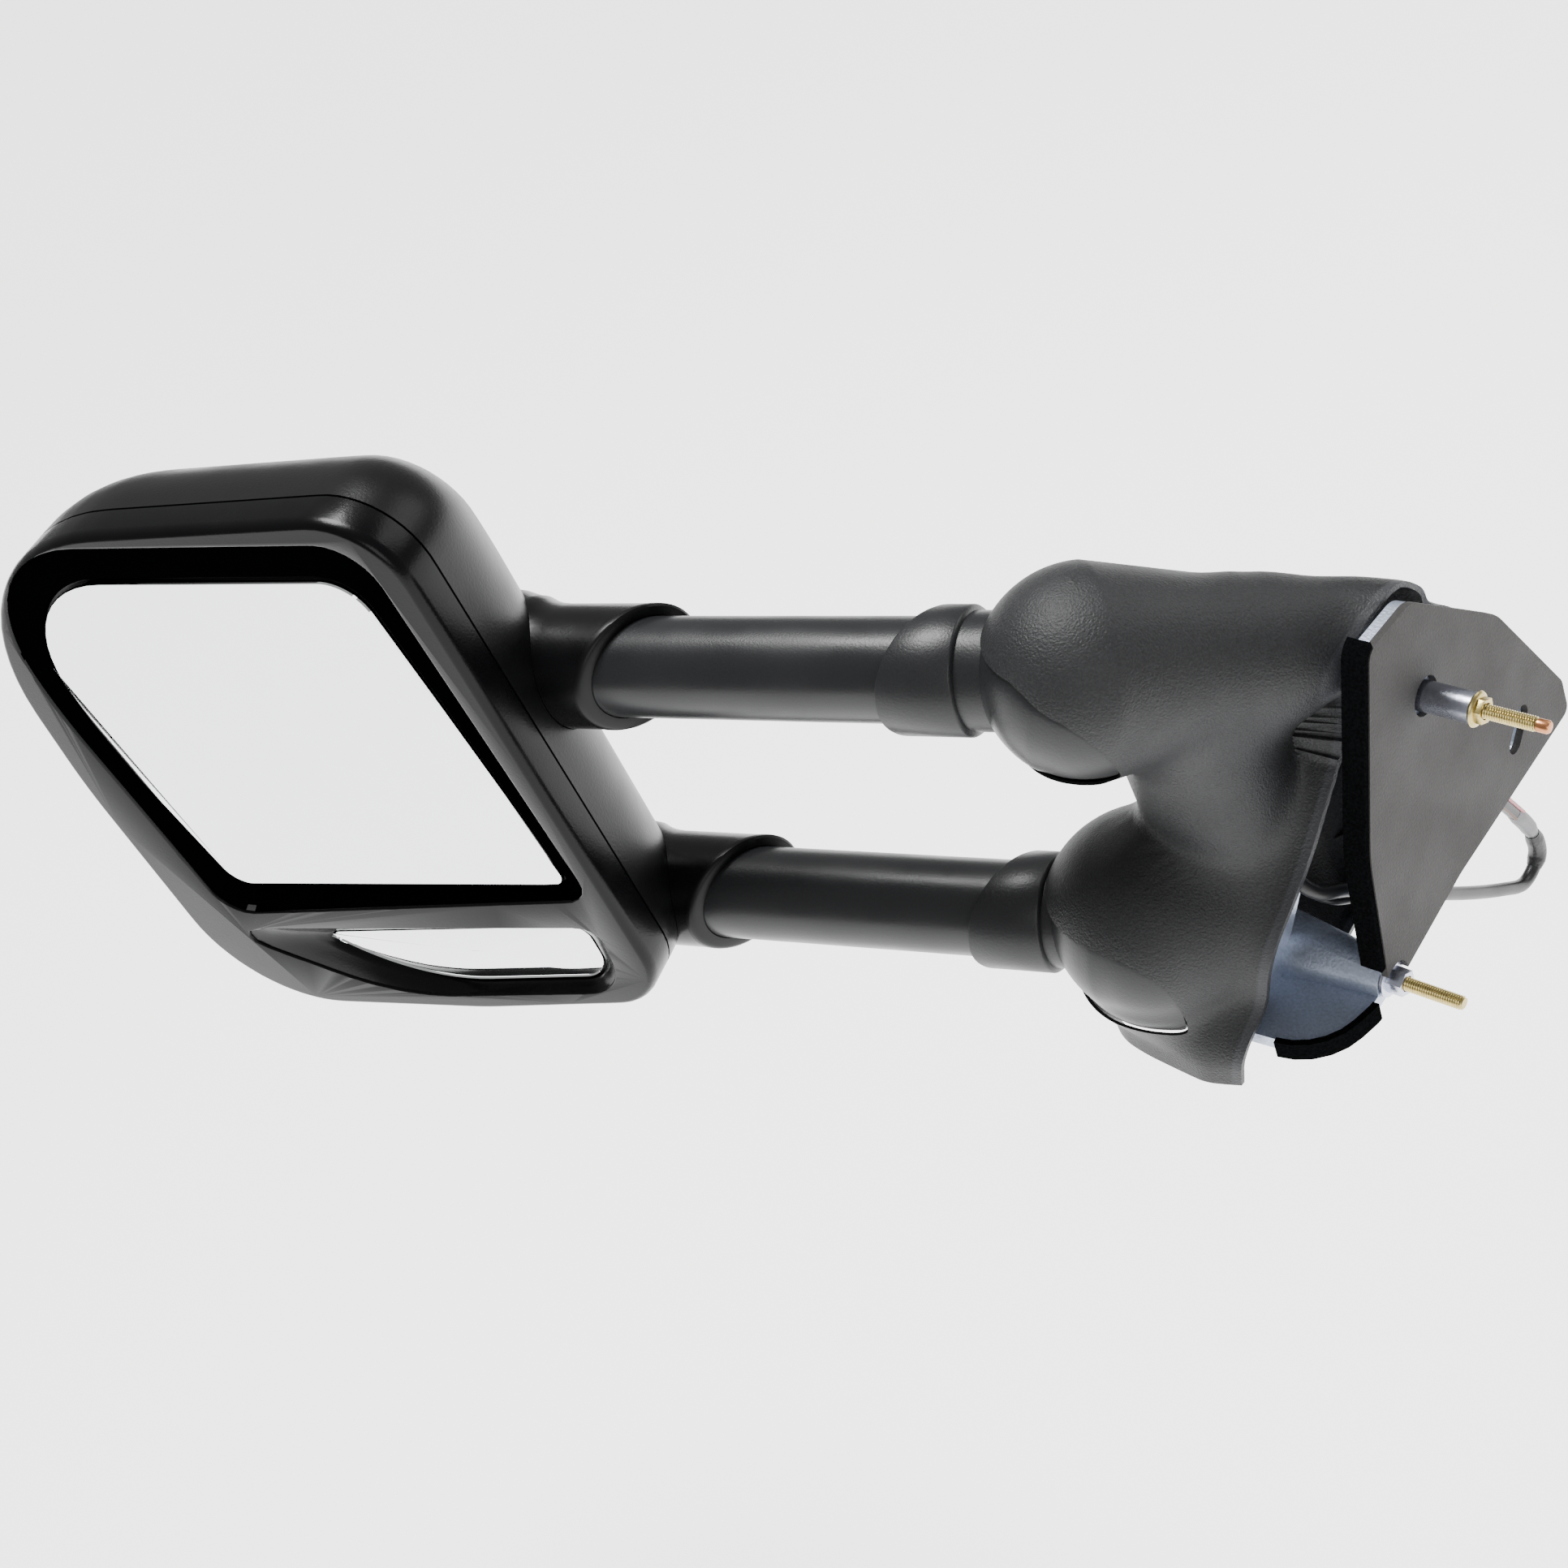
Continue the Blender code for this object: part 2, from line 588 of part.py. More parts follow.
def make_base_cover():
    """Moulded skin over both pivots, open to the door and below."""
    cover = cover_solid("base_cover", 0.0, GRAINED, PARTS)
    hollow = cover_solid("cover_hollow", COVER_WALL)
    door_edge = facing("door_edge", DOOR_EDGE, DOOR_NORMAL)
    lower_edge = facing("lower_edge", (-0.0420, -0.1010, -0.0805), (0, 0.065, -1))
    size = 0.4
    sides = [box(f"{frame.name}_cut", (-size, -size, 0), (size, size, size), frame)
             for frame in (door_edge, lower_edge)]
    cut(cover, hollow, *sides)
    for which, (height, _, _) in LOBES.items():
        neck = rod(f"neck_way_{which}", (-0.015, 0, height), (-0.110, 0, height), 0.0236,
                   parent=fold_axis)
        cut(cover, neck, slot_cutter(f"slot_way_{which}", height, 0.010, 0.060))


# ---------------------------------------------------------------- studs, nuts and pins
def make_studs():
    y, z = STUD_UPPER
    pipe("standoff_upper", (-GASKET_T, y, z), (0.0205, y, z), 0.0062, STUD_R + GAP, 24,
         finish=ZINC)
    hexagon_nut("nut_upper", 0.0208, 0.0248, y, z, 0.0095, GOLD)
    rod("stud_upper", (-0.0290, y, z), (0.0500, y, z), STUD_R, sides=20, finish=GOLD,
        collection=PARTS)
    y, z = STUD_LOWER
    hexagon_nut("nut_lower", -GASKET_T, 0.0045, y, z, 0.0100, ZINC)
    rod("stud_lower", (-0.0290, y, z), (0.0290, y, z), STUD_R, sides=20, finish=GOLD,
        collection=PARTS)


def hexagon_nut(name, low_x, high_x, y, z, across, finish):
    nut = hexagon(name, (low_x, y, z), (high_x, y, z), across, finish=finish)
    cut(nut, rod(name + "_bore", (low_x - 0.01, y, z), (high_x + 0.01, y, z), STUD_R + GAP,
                 sides=20))


def make_pivot(which, height):
    """Pin, clip and thrust washer of one arm's pivot."""
    top = height + HUB_HALF + 2 * GAP + LUG_T
    bottom = height - HUB_HALF - 2 * GAP - LUG_T
    profile = [(top + 0.0025, 0), (top + 0.0025, 0.0090), (top, 0.0090), (top, PIN_R),
               (bottom - 0.0035, PIN_R), (bottom - 0.0035, 0)]
    turned(f"{which}_pivot_pin", profile, (0, 0, 0), (0, 0, 1), 24, fold_axis, STEEL,
           closed=False)
    pipe(f"{which}_pin_clip", (0, 0, bottom - 0.0022), (0, 0, bottom), 0.0088, PIN_R + GAP, 24,
         fold_axis, STEEL)


def make_fold_spring():
    """Detent spring under the upper arm's top lug."""
    low = UPPER_Z + 0.0125
    turns, rise, radius = 3, 0.0090, 0.0092
    steps = 12 * turns
    points = []
    for step in range(steps + 1):
        angle = 2 * math.pi * step / 12
        points.append((radius * math.cos(angle), radius * math.sin(angle),
                       low + 0.0013 + rise * step / steps))
    curve = wire("fold_spring", points, 0.0011, steps, STEEL, parent=fold_axis)
    return curve


# ---------------------------------------------------------------- arms
def make_arm(which, height):
    pipe(f"{which}_arm_tube", (TUBE_ROOT, 0, height), (TUBE_TIP, 0, height), TUBE_R,
         TUBE_R - TUBE_WALL, 28, fold_axis, TUBE)
    hub_top = height + (0.0120 if which == "upper" else HUB_HALF)
    knuckle = rod(f"{which}_knuckle", (0, 0, height - HUB_HALF), (0, 0, hub_top),
                  0.0125, sides=24, parent=fold_axis, finish=CAST, collection=PARTS)
    inner = TUBE_R - TUBE_WALL - GAP
    join(knuckle, rod(f"{which}_spigot", (0, 0, height), (-0.062, 0, height), inner,
                      parent=fold_axis))
    if which == "upper":
        cut(knuckle, rod("spring_seat", (0, 0, hub_top), (0, 0, hub_top + 0.02), 0.0112,
                         parent=fold_axis))
    cut(knuckle, rod(f"{which}_hub_bore", (0, 0, height - 0.03), (0, 0, height + 0.03),
                     PIN_R + GAP, parent=fold_axis))


def make_knuckle_cover(which, height, ball, roundness):
    """Collar round the arm's root with the ball that fills the fold slot."""
    wall, high, low, steps = 0.0023, 0.0262, -0.0286, 6
    levels = [high + (low - high) * step / steps for step in range(steps + 1)]
    profile = [(z, math.sqrt(ball ** 2 - (z if z > 0 else roundness * z) ** 2)) for z in levels]
    profile += [(z, r - wall) for z, r in reversed(profile)]
    cover = turned(f"{which}_knuckle_cover", profile, (0, 0, height), (0, 0, 1), 28, fold_axis,
                   SATIN)
    root = math.sqrt((ball - wall) ** 2 - NECK_R ** 2) - 0.0010
    end = [(COLLAR_END + y * math.tan(math.radians(COLLAR_LEAN)), y, z)
           for _, y, z in ring_x(0, COLLAR_R, height)]
    collar = loft(f"{which}_collar", [
        ring_x(-root, NECK_R, height), ring_x(-0.0500, NECK_R, height),
        ring_x(-0.0525, COLLAR_R, height), end], fold_axis, collection=CUTTERS)
    join(cover, collar)
    bore = rod(f"{which}_collar_bore", (-0.0240, 0, height), (-0.0900, 0, height),
               TUBE_R + GAP, parent=fold_axis, sides=28)
    open_side = plate_z(f"{which}_ball_open", [
        (0.0, 0.0), arc_point(0.09, 130), arc_point(0.12, 180), arc_point(0.12, 240),
        arc_point(0.09, 300)], height - 0.05, height + 0.05, fold_axis, collection=CUTTERS)
    cut(cover, bore, open_side)


def ring_x(x, radius, height, sides=28):
    """A circle square to an arm."""
    turns = [2 * math.pi * i / sides for i in range(sides)]
    return [(x, radius * math.cos(t), height + radius * math.sin(t)) for t in turns]


def arc_point(radius, degrees):
    """A point in the arm frame's plan, turned from the arm towards the glass side."""
    angle = math.radians(180 + degrees)
    return (radius * math.cos(angle), radius * math.sin(angle))


def oblique(along, height, lean=26, parent=fold_axis):
    """Frame of the slanted end of a collar or sleeve, its x axis square to the end."""
    slant = empty(f"slant_{round(-along * 1000)}_{round(height * 1000)}", (along, 0, height),
                  parent)
    slant.rotation_euler = (0, 0, math.radians(-lean))
    return slant


# ---------------------------------------------------------------- mirror head
HEAD = [                            # bezel's outer outline (x, z, corner radius), arm frame
    (-0.4850, 0.2200, 0.105), (-0.4885, 0.0750, 0.300), (-0.4740, -0.0765, 0.062),
    (-0.2150, -0.0475, 0.032), (-0.2380, 0.2285, 0.036)]
BACK = [                            # flat crown of the back shell
    (-0.4300, 0.1500, 0.040), (-0.4150, -0.0520, 0.040), (-0.2900, -0.0500, 0.030),
    (-0.2950, 0.1500, 0.030)]
HEAD_CENTRE = (-0.356, 0.076)
MAIN_GLASS = [
    (-0.4600, 0.1930, 0.034), (-0.4520, 0.0010, 0.022), (-0.2400, 0.0170, 0.008),
    (-0.2660, 0.1950, 0.018)]
MAIN_OPENING = [                    # mouth of the recess in the bezel's front plane
    (-0.4650, 0.2110, 0.048), (-0.4570, 0.0000, 0.022), (-0.2300, 0.0190, 0.008),
    (-0.2480, 0.2130, 0.022)]
SPOT_GLASS = [
    (-0.4120, -0.0270, 0.005), (-0.3850, -0.0510, 0.030), (-0.3150, -0.0600, 0.050),
    (-0.2400, -0.0420, 0.016), (-0.2460, -0.0070, 0.008)]
SPOT_OPENING = [
    (-0.4480, -0.0290, 0.010), (-0.4020, -0.0600, 0.040), (-0.3150, -0.0650, 0.050),
    (-0.2290, -0.0470, 0.018), (-0.2370, -0.0030, 0.008)]
HEAD_SIDES = 44
SHELL_CURVE = 2.4                   # how late the shell turns in towards its crown
GLASS_CLEAR = 0.0028                # between a glass and its recess


def at_y(outline, y):
    return [(x, y, z) for x, z in outline]


def back_rings(count, steps):
    """Rings of the back shell from the seam to its flat crown."""
    seam = around(rounded(HEAD, 6), HEAD_CENTRE, count)
    crown = around(rounded(BACK, 6), HEAD_CENTRE, count)
    rings = [at_y(seam, SEAM_Y)]
    for step in range(steps + 1):
        depth = math.sin(math.pi / 2 * step / steps)
        shrink = depth ** SHELL_CURVE
        ring = seam * (1 - shrink) + crown * shrink
        rings.append(at_y(ring, SEAM_Y + SEAM_BAND + (HEAD_DEPTH - SEAM_BAND) * depth))
    return rings


def sleeve_way(which, height, radius, tag):
    return rod(f"{which}_{tag}", (-0.150, 0, height), (SLEEVE_ROOT - GAP, 0, height), radius,
               parent=head_slide, sides=28)


def make_back_shell():
    shell = loft("head_back_shell", back_rings(HEAD_SIDES, 6), head_slide, SATIN, capped=False)
    solidify(shell, 0.0025)
    for which, (height, _, _) in LOBES.items():
        cut(shell, sleeve_way(which, height, SLEEVE_R + GAP, "shell_way"))


def make_bezel():
    outer = around(rounded(HEAD, 6), HEAD_CENTRE, HEAD_SIDES)
    lip = around(inset(rounded(HEAD, 6), 0.0035), HEAD_CENTRE, HEAD_SIDES)
    rings = [at_y(outer, SEAM_Y - GAP), at_y(outer, RIM_Y + 0.005), at_y(lip, RIM_Y)]
    bezel = loft("head_bezel", rings, head_slide, SATIN)
    cavity = around(inset(rounded(HEAD, 6), 0.0030), HEAD_CENTRE, HEAD_SIDES)
    hollow = loft("bezel_hollow", [at_y(cavity, -0.030), at_y(cavity, RIM_Y + 0.0075)],
                  head_slide, collection=CUTTERS)
    cut(bezel, hollow, recess("main_recess", MAIN_OPENING, MAIN_GLASS),
        recess("spot_recess", SPOT_OPENING, SPOT_GLASS))


def recess(name, mouth, glass):
    """Cutter for a glass recess: it narrows from the mouth to the glass."""
    inner = rounded(glass, 5)
    centre = (sum(p[0] for p in inner) / len(inner), sum(p[1] for p in inner) / len(inner))
    narrow = around(inset(inner, -GLASS_CLEAR), centre, 48)
    wide = around(rounded(mouth, 5), centre, 48)
    past = centre + (wide - centre) * 1.02
    rings = [at_y(past, RIM_Y - 0.002), at_y(wide, RIM_Y), at_y(narrow, RIM_Y + 0.0070),
             at_y(narrow, -0.030)]
    return loft(name, rings, head_slide, collection=CUTTERS)


def make_glass(name, outline, front, pivot, finish, dome=0.0):
    """A pane with a flat back; the spotter's front is gently domed."""
    flat = rounded(outline, 5)
    centre = (sum(p[0] for p in flat) / len(flat), sum(p[1] for p in flat) / len(flat))
    edge = inset(flat, 0.0012)
    rings = [at_y(edge, front + GLASS_T)]
    if dome:
        for share in (1.0, 0.75, 0.5, 0.25):
            ring = [(centre[0] + (x - centre[0]) * share, centre[1] + (z - centre[1]) * share)
                    for x, z in edge]
            rings.append(at_y(ring, front + dome * share ** 2))
    else:
        rings.append(at_y(edge, front))
    low = Vector(pivot.location)
    rings = [[tuple(Vector(p) - low) for p in ring] for ring in rings]
    return loft(name, rings, pivot, finish)


def make_holder(name, outline, front, pivot, boss_r, boss_depth):
    """Plastic backing plate of a glass, with the pivot boss behind it."""
    low = Vector(pivot.location)
    flat = inset(rounded(outline, 5), 0.0008)
    start = front + GLASS_T + GAP
    rings = [[tuple(Vector(p) - low) for p in at_y(flat, y)] for y in (start, start + HOLDER_T)]
    holder = loft(name, rings, pivot, BLACK)
    back = start + HOLDER_T - low.y
    boss = rod(name + "_boss", (0, back - 0.001, 0), (0, back + boss_depth, 0), boss_r,
               parent=pivot, sides=24)
    return join(holder, boss)


def make_glasses():
    make_glass("main_glass", MAIN_GLASS, GLASS_Y, glass_pivot, MIRROR)
    make_holder("main_glass_holder", MAIN_GLASS, GLASS_Y, glass_pivot, 0.0045, 0.0034)
    make_glass("spotter_glass", SPOT_GLASS, SPOT_Y, spot_pivot, MIRROR, dome=0.0014)
    make_holder("spotter_glass_holder", SPOT_GLASS, SPOT_Y, spot_pivot, 0.0045, 0.0034)
    for name, pivot in (("main_gimbal", glass_pivot), ("spotter_gimbal", spot_pivot)):
        turned(name, [(0.0016, 0.0105), (-0.0016, 0.0105), (-0.0016, 0.0068), (0.0016, 0.0068)],
               (0, 0, 0), (0, 1, 0), 32, pivot, BLACK)


def make_actuator():
    """Motor housing behind the main glass, its socket post and its two plungers."""
    x, y, z = GLASS_PIVOT
    housing = box("actuator_housing", (x - 0.046, y + 0.0050, -0.0070),
                  (x + 0.042, -0.0040, 0.0830), head_slide, BLACK, PARTS)
    bevel = housing.modifiers.new("edges", "BEVEL")
    bevel.width = 0.004
    bevel.segments = 2
    post = rod("actuator_post", (x, y + 0.0018, z), (x, y + 0.0100, z), 0.0045, sides=24,
               parent=head_slide)
    join(housing, post)
    for name, dx, dz in (("pan", 0.034, 0.0), ("tilt", 0.0, -0.040)):
        cut(housing, rod(f"{name}_plunger_way", (x + dx, y - 0.01, z + dz),
                         (x + dx, y + 0.028, z + dz), 0.0036, sides=24, parent=head_slide))
        tip = GLASS_Y + GLASS_T + GAP + HOLDER_T + 0.0008
        rod(f"{name}_plunger", (x + dx, tip, z + dz), (x + dx, y + 0.022, z + dz), 0.0032,
            0.0032, sides=20, parent=head_slide, finish=BLACK, collection=PARTS)


def make_head_frame():
    """Inner frame: a web behind the arms with saddles round the guide bushes."""
    frame = box("head_frame", (-0.4000, 0.0270, -0.0200), (-0.2890, 0.0300, 0.1300), head_slide,
                BLACK, PARTS)
    for which, (height, _, _) in LOBES.items():
        saddle = box(f"{which}_saddle", (-0.2980, -0.0050, height + 0.0010),
                     (-0.2860, 0.0240, height + 0.0295), head_slide)
        arm = box(f"{which}_saddle_arm", (-0.2970, 0.0220, height + 0.0120),
                  (-0.2890, 0.0295, height + 0.0280), head_slide)
        join(frame, saddle, arm)
        cut(frame, rod(f"{which}_saddle_bore", (-0.2300, 0, height), (-0.3400, 0, height),
                       SLEEVE_R + GAP, parent=head_slide, sides=28))
        pipe(f"{which}_guide_bush", (BUSH[0] - GAP, 0, height), (BUSH[1], 0, height), BUSH_R,
             TUBE_R + GAP, 28, head_slide, BLACK)
    for z in (0.0100, 0.0660):
        join(frame, box(f"housing_stay_{round(z * 1000)}", (-0.3900, -0.0037, z),
                        (-0.3700, 0.0280, z + 0.0100), head_slide))
    return frame


def make_spot_carrier():
    """Plate across the bezel that carries the spotter's ball stud."""
    x, y, z = SPOT_PIVOT
    carrier = plate_y("spotter_carrier", rounded([
        (-0.4400, -0.0480, 0.008), (-0.2500, -0.0380, 0.008), (-0.2500, -0.0220, 0.004),
        (-0.4500, -0.0220, 0.008)]), -0.0290, -0.0266, head_slide, BLACK)
    join(carrier, rod("spotter_post", (x, y + 0.0018, z), (x, -0.0275, z), 0.0045, sides=24,
                      parent=head_slide))


def make_sleeve(which, height):
    """Sleeve on a tube, with a slanted end and a counterbore for its guide bush."""
    sleeve = rod(f"{which}_sleeve", (-0.1500, 0, height), (SLEEVE_ROOT, 0, height), SLEEVE_R,
                 parent=head_slide, sides=28, finish=SATIN, collection=PARTS)
    end = box(f"{which}_sleeve_end", (0.0, -0.0600, -0.0500), (0.0900, 0.0600, 0.0500),
              oblique(SLEEVE_END, height, 30, head_slide))
    bore = rod(f"{which}_sleeve_bore", (-0.1400, 0, height), (-0.3200, 0, height),
               TUBE_R + GAP, parent=head_slide, sides=28)
    seat = rod(f"{which}_bush_seat", (BUSH[0], 0, height), (-0.3200, 0, height),
               BUSH_R + GAP, parent=head_slide, sides=28)
    cut(sleeve, bore, end, seat)


# ---------------------------------------------------------------- wiring
HARNESS_ROUTE = [
    (-0.0480, -0.0420, 0.0100), (-0.0360, -0.0520, -0.0010), (-0.0270, -0.0500, -0.0120),
    (-0.0215, -0.0370, -0.0210), (-0.0180, -0.0080, -0.0500), (-0.0170, 0.0280, -0.0860),
    (-0.0160, 0.0570, -0.1120), (-0.0155, 0.0740, -0.1240), (-0.0155, 0.0870, -0.1180),
    (-0.0155, 0.0840, -0.1000), (-0.0160, 0.0740, -0.0800), (-0.0160, 0.0600, -0.0560),
    (-0.0165, 0.0480, -0.0360)]
HARNESS_R = 0.0030
CONNECTOR = (0.0090, 0.0120, 0.0220)  # thickness, width, length


def make_wiring():
    """Taped pigtail from inside the cover, and the connector on its end."""
    wire("harness", HARNESS_ROUTE, HARNESS_R, 40, TAPE)
    end = Vector(HARNESS_ROUTE[-1])
    along = smooth_curve(HARNESS_ROUTE, 40)
    plug = facing("connector_frame", end, along[-1] - along[-2])
    thick, wide, long = CONNECTOR
    body = box("harness_connector", (-wide / 2, -thick / 2, GAP), (wide / 2, thick / 2, long),
               plug, BLACK, PARTS)
    edges = body.modifiers.new("edges", "BEVEL")
    edges.width = 0.0008
    edges.segments = 2


make_gasket()
make_edge_seal()
make_shelf_seal()
make_bracket()
make_base_cover()
make_studs()
for name, (level, ball_r, roundness) in LOBES.items():
    make_pivot(name, level)
    make_arm(name, level)
    make_knuckle_cover(name, level, ball_r, roundness)
    make_sleeve(name, level)
make_fold_spring()
make_back_shell()
make_bezel()
make_glasses()
make_actuator()
make_head_frame()
make_spot_carrier()
make_wiring()
bpy.context.view_layer.update()
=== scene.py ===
"""Towing mirror: the shown model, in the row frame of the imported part."""

import math

import bpy
import numpy as np
from mathutils import Matrix, Vector


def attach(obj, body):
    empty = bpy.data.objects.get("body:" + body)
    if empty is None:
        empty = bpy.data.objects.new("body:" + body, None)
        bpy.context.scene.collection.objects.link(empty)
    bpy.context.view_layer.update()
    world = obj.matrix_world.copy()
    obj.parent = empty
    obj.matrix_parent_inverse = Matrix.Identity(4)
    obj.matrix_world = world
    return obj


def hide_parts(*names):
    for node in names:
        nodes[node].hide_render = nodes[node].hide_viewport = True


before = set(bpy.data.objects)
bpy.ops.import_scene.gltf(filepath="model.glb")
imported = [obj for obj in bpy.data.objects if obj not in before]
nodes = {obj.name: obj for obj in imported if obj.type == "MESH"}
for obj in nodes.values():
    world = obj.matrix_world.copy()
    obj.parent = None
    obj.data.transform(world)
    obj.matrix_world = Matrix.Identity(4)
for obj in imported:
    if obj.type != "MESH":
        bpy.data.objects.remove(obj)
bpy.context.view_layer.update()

# ---------------------------------------------------------------- driving dimensions (metres)
GAP = 0.0003
SWING = math.radians(18.5)
FOLD = Vector((-0.088, -0.074, 0))
ARM = Matrix.Translation(FOLD) @ Matrix.Rotation(SWING, 4, "Z")
ROW = Matrix.Identity(4)
UPPER_Z = 0.106
LOWER_Z = -0.030
TUBE_R = 0.021
COLLAR_R = 0.0255
COLLAR_END = -0.065
COLLAR_LEAN = math.radians(26)
SLEEVE_R = 0.0262
SLEEVE_END = -0.194
SLEEVE_LEAN = math.radians(30)
STUD_UPPER = (0.005, 0.053)
STUD_LOWER = (-0.0467, -0.0553)
STUD_R = 0.003
STUD_START = -0.0290
THREAD_PITCH = 0.0010
THREAD_DEPTH = 0.00042
RIM_Y = -0.054
SEAM_Y = -0.036
HEAD_DEPTH = 0.084
SEAM_BAND = 0.004
SHARP = 40                          # degrees: an edge at least this sharp stays sharp
NODE_SHARP = 35                     # the same on the shown CAD nodes
WELD = 0.00001
ROUND_SIDES = 96
ARC_STEPS = 14
GLASS_ARC_STEPS = 12
DOOR_EDGE = (-0.0085, 0.0120, 0.1040)
DOOR_NORMAL = tuple(Vector((0.9876, -0.0600, -0.1449)).normalized())

# ---------------------------------------------------------------- camera
camera_data = bpy.data.cameras.new("camera")
camera_data.lens = 52.17
camera_data.sensor_width = 36
camera_data.dof.use_dof = False
camera_data.clip_start = 0.01
camera_data.clip_end = 60
camera = bpy.data.objects.new("camera", camera_data)
camera.matrix_world = Matrix((
    (0.72156, -0.25586, 0.64334, 0.38366),
    (0.61858, 0.65562, -0.43304, -0.53558),
    (-0.31099, 0.71042, 0.63134, 0.64353),
    (0, 0, 0, 1)))
bpy.context.scene.collection.objects.link(camera)
bpy.context.scene.camera = camera


# ---------------------------------------------------------------- materials
def graph(name):
    """A new node material, with its nodes, links and Principled shader."""
    made = bpy.data.materials.new(name)
    made.use_nodes = True
    tree = made.node_tree
    return made, tree.nodes, tree.links, tree.nodes["Principled BSDF"]


def noise(nodes_of, links, source, size, detail=2.0):
    """Noise whose features are about size metres across."""
    made = nodes_of.new("ShaderNodeTexNoise")
    made.inputs["Scale"].default_value = 1 / size
    made.inputs["Detail"].default_value = detail
    links.new(source, made.inputs["Vector"])
    return made.outputs["Fac"]


def spread(nodes_of, links, value, low, high, start=0.35, end=0.65):
    """A value in start..end mapped onto low..high."""
    made = nodes_of.new("ShaderNodeMapRange")
    for socket, number in zip(("From Min", "From Max", "To Min", "To Max"),
                              (start, end, low, high)):
        made.inputs[socket].default_value = number
    links.new(value, made.inputs["Value"])
    return made.outputs["Result"]


def blended(nodes_of, links, share, first, second):
    """Two colours, or a socket and a colour, mixed by a share."""
    made = nodes_of.new("ShaderNodeMix")
    made.data_type = "RGBA"
    links.new(share, made.inputs["Factor"])
    for socket, value in (("A", first), ("B", second)):
        target = [s for s in made.inputs if s.name == socket and s.type == "RGBA"][0]
        if isinstance(value, tuple):
            target.default_value = (*value, 1)
        else:
            links.new(value, target)
    return [s for s in made.outputs if s.type == "RGBA"][0]


def surface(name, colour, rough, metallic=0.0, grain=0.0006, relief=0.0, speckle=0.08,
            cloud=0.05, gloss=0.5, edge=None):
    """A finish with grain in its colour and relief, and cloudy roughness; edge, if given, paints a
    lighter band near a plane as a painted highlight.
    """
    made, made_nodes, links, shader = graph(name)
    place = made_nodes.new("ShaderNodeTexCoord").outputs["Object"]
    fine = noise(made_nodes, links, place, grain)
    wide = noise(made_nodes, links, place, 0.03, 4.0)
    share = spread(made_nodes, links, fine, 0.0, 1.0, 0.3, 0.7)
    dark = tuple(c * (1 - speckle) for c in colour)
    light = tuple(min(1.0, c * (1 + speckle)) for c in colour)
    tone = blended(made_nodes, links, share, dark, light)
    # edge: a lighter colour within a few millimetres of a plane, a painted highlight along a lip
    if edge:
        normal, point, painted_highlight_colour, reach = edge
        away = made_nodes.new("ShaderNodeVectorMath")
        away.operation = "DOT_PRODUCT"
        away.inputs[1].default_value = normal
        links.new(place, away.inputs[0])
        level = Vector(normal).dot(Vector(point))
        highlight_band = spread(made_nodes, links, away.outputs["Value"], 0.0, 1.0, level - reach * 1.15,
                      level - reach * 0.85)
        tone = blended(made_nodes, links, highlight_band, tone, painted_highlight_colour)
    links.new(tone, shader.inputs["Base Color"])
    roughness = spread(made_nodes, links, wide, rough - cloud, rough + cloud)
    links.new(roughness, shader.inputs["Roughness"])
    shader.inputs["Metallic"].default_value = metallic
    shader.inputs["Specular IOR Level"].default_value = gloss
    if relief:
        bump = made_nodes.new("ShaderNodeBump")
        bump.inputs["Strength"].default_value = 1.0
        bump.inputs["Distance"].default_value = relief
        links.new(fine, bump.inputs["Height"])
        links.new(bump.outputs["Normal"], shader.inputs["Normal"])
    return made


# The cover's edge band is a painted highlight: a lighter stripe along the door-edge lip.
COVER_FINISH = surface("cover_finish", (0.015, 0.0155, 0.0165), 0.50, grain=0.0009, relief=0.00035,
                       speckle=0.30, gloss=0.35,
                       edge=(DOOR_NORMAL, DOOR_EDGE, (0.032, 0.033, 0.036), 0.0035))
KNUCKLE_FINISH = surface("knuckle_finish", (0.012, 0.0125, 0.0135), 0.38, gloss=0.32, grain=0.0011,
                         relief=0.00008, speckle=0.08)
SHELL_FINISH = surface("shell_finish", (0.0024, 0.0024, 0.0027), 0.32, gloss=0.22, grain=0.0012,
                       relief=0.00006, speckle=0.10, cloud=0.04)
BEZEL_FINISH = surface("bezel_finish", (0.0014, 0.0014, 0.0018), 0.24, gloss=0.16, grain=0.0010,
                       relief=0.00004, speckle=0.10, cloud=0.04)
# Black plastic of the bezel's inner flange, darker and matter than the bezel: partly its own black,
# partly painted shade in the main recess.
FLANGE_PAINTED_SHADE = surface("flange_painted_shade", (0.0006, 0.0006, 0.0007), 0.50, gloss=0.0,
                        grain=0.0012, speckle=0.10)
SLEEVE_FINISH = surface("sleeve_finish", (0.0022, 0.0022, 0.0026), 0.26, gloss=0.25, grain=0.0012,
                        relief=0.00004, speckle=0.10, cloud=0.04)
RIM_FINISH = surface("rim_finish", (0.0012, 0.0012, 0.0015), 0.35, gloss=0.2, grain=0.0010,
                     speckle=0.10)
TUBE_FINISH = surface("tube_paint", (0.012, 0.0125, 0.0135), 0.32, gloss=0.35, grain=0.0009,
                      relief=0.00004, speckle=0.06, cloud=0.04)
INNER_FINISH = surface("inner_plastic", (0.004, 0.004, 0.0045), 0.5, gloss=0.2, grain=0.0010,
                       relief=0.00008, speckle=0.10)
GLASS_FINISH = surface("mirror_coating", (0.90, 0.91, 0.92), 0.045, 1.0, grain=0.02,
                       speckle=0.01, cloud=0.01)
CAST_FINISH = surface("cast_zinc", (0.44, 0.49, 0.60), 0.40, 0.70, grain=0.0012,
                      relief=0.00020, speckle=0.12, cloud=0.08)
ZINC_FINISH = surface("zinc_plate", (0.52, 0.54, 0.63), 0.28, 1.0, grain=0.0015,
                      relief=0.00005, speckle=0.08)
GOLD_FINISH = surface("yellow_passivate", (0.50, 0.40, 0.16), 0.30, 1.0, grain=0.0015,
                      relief=0.00005, speckle=0.14)
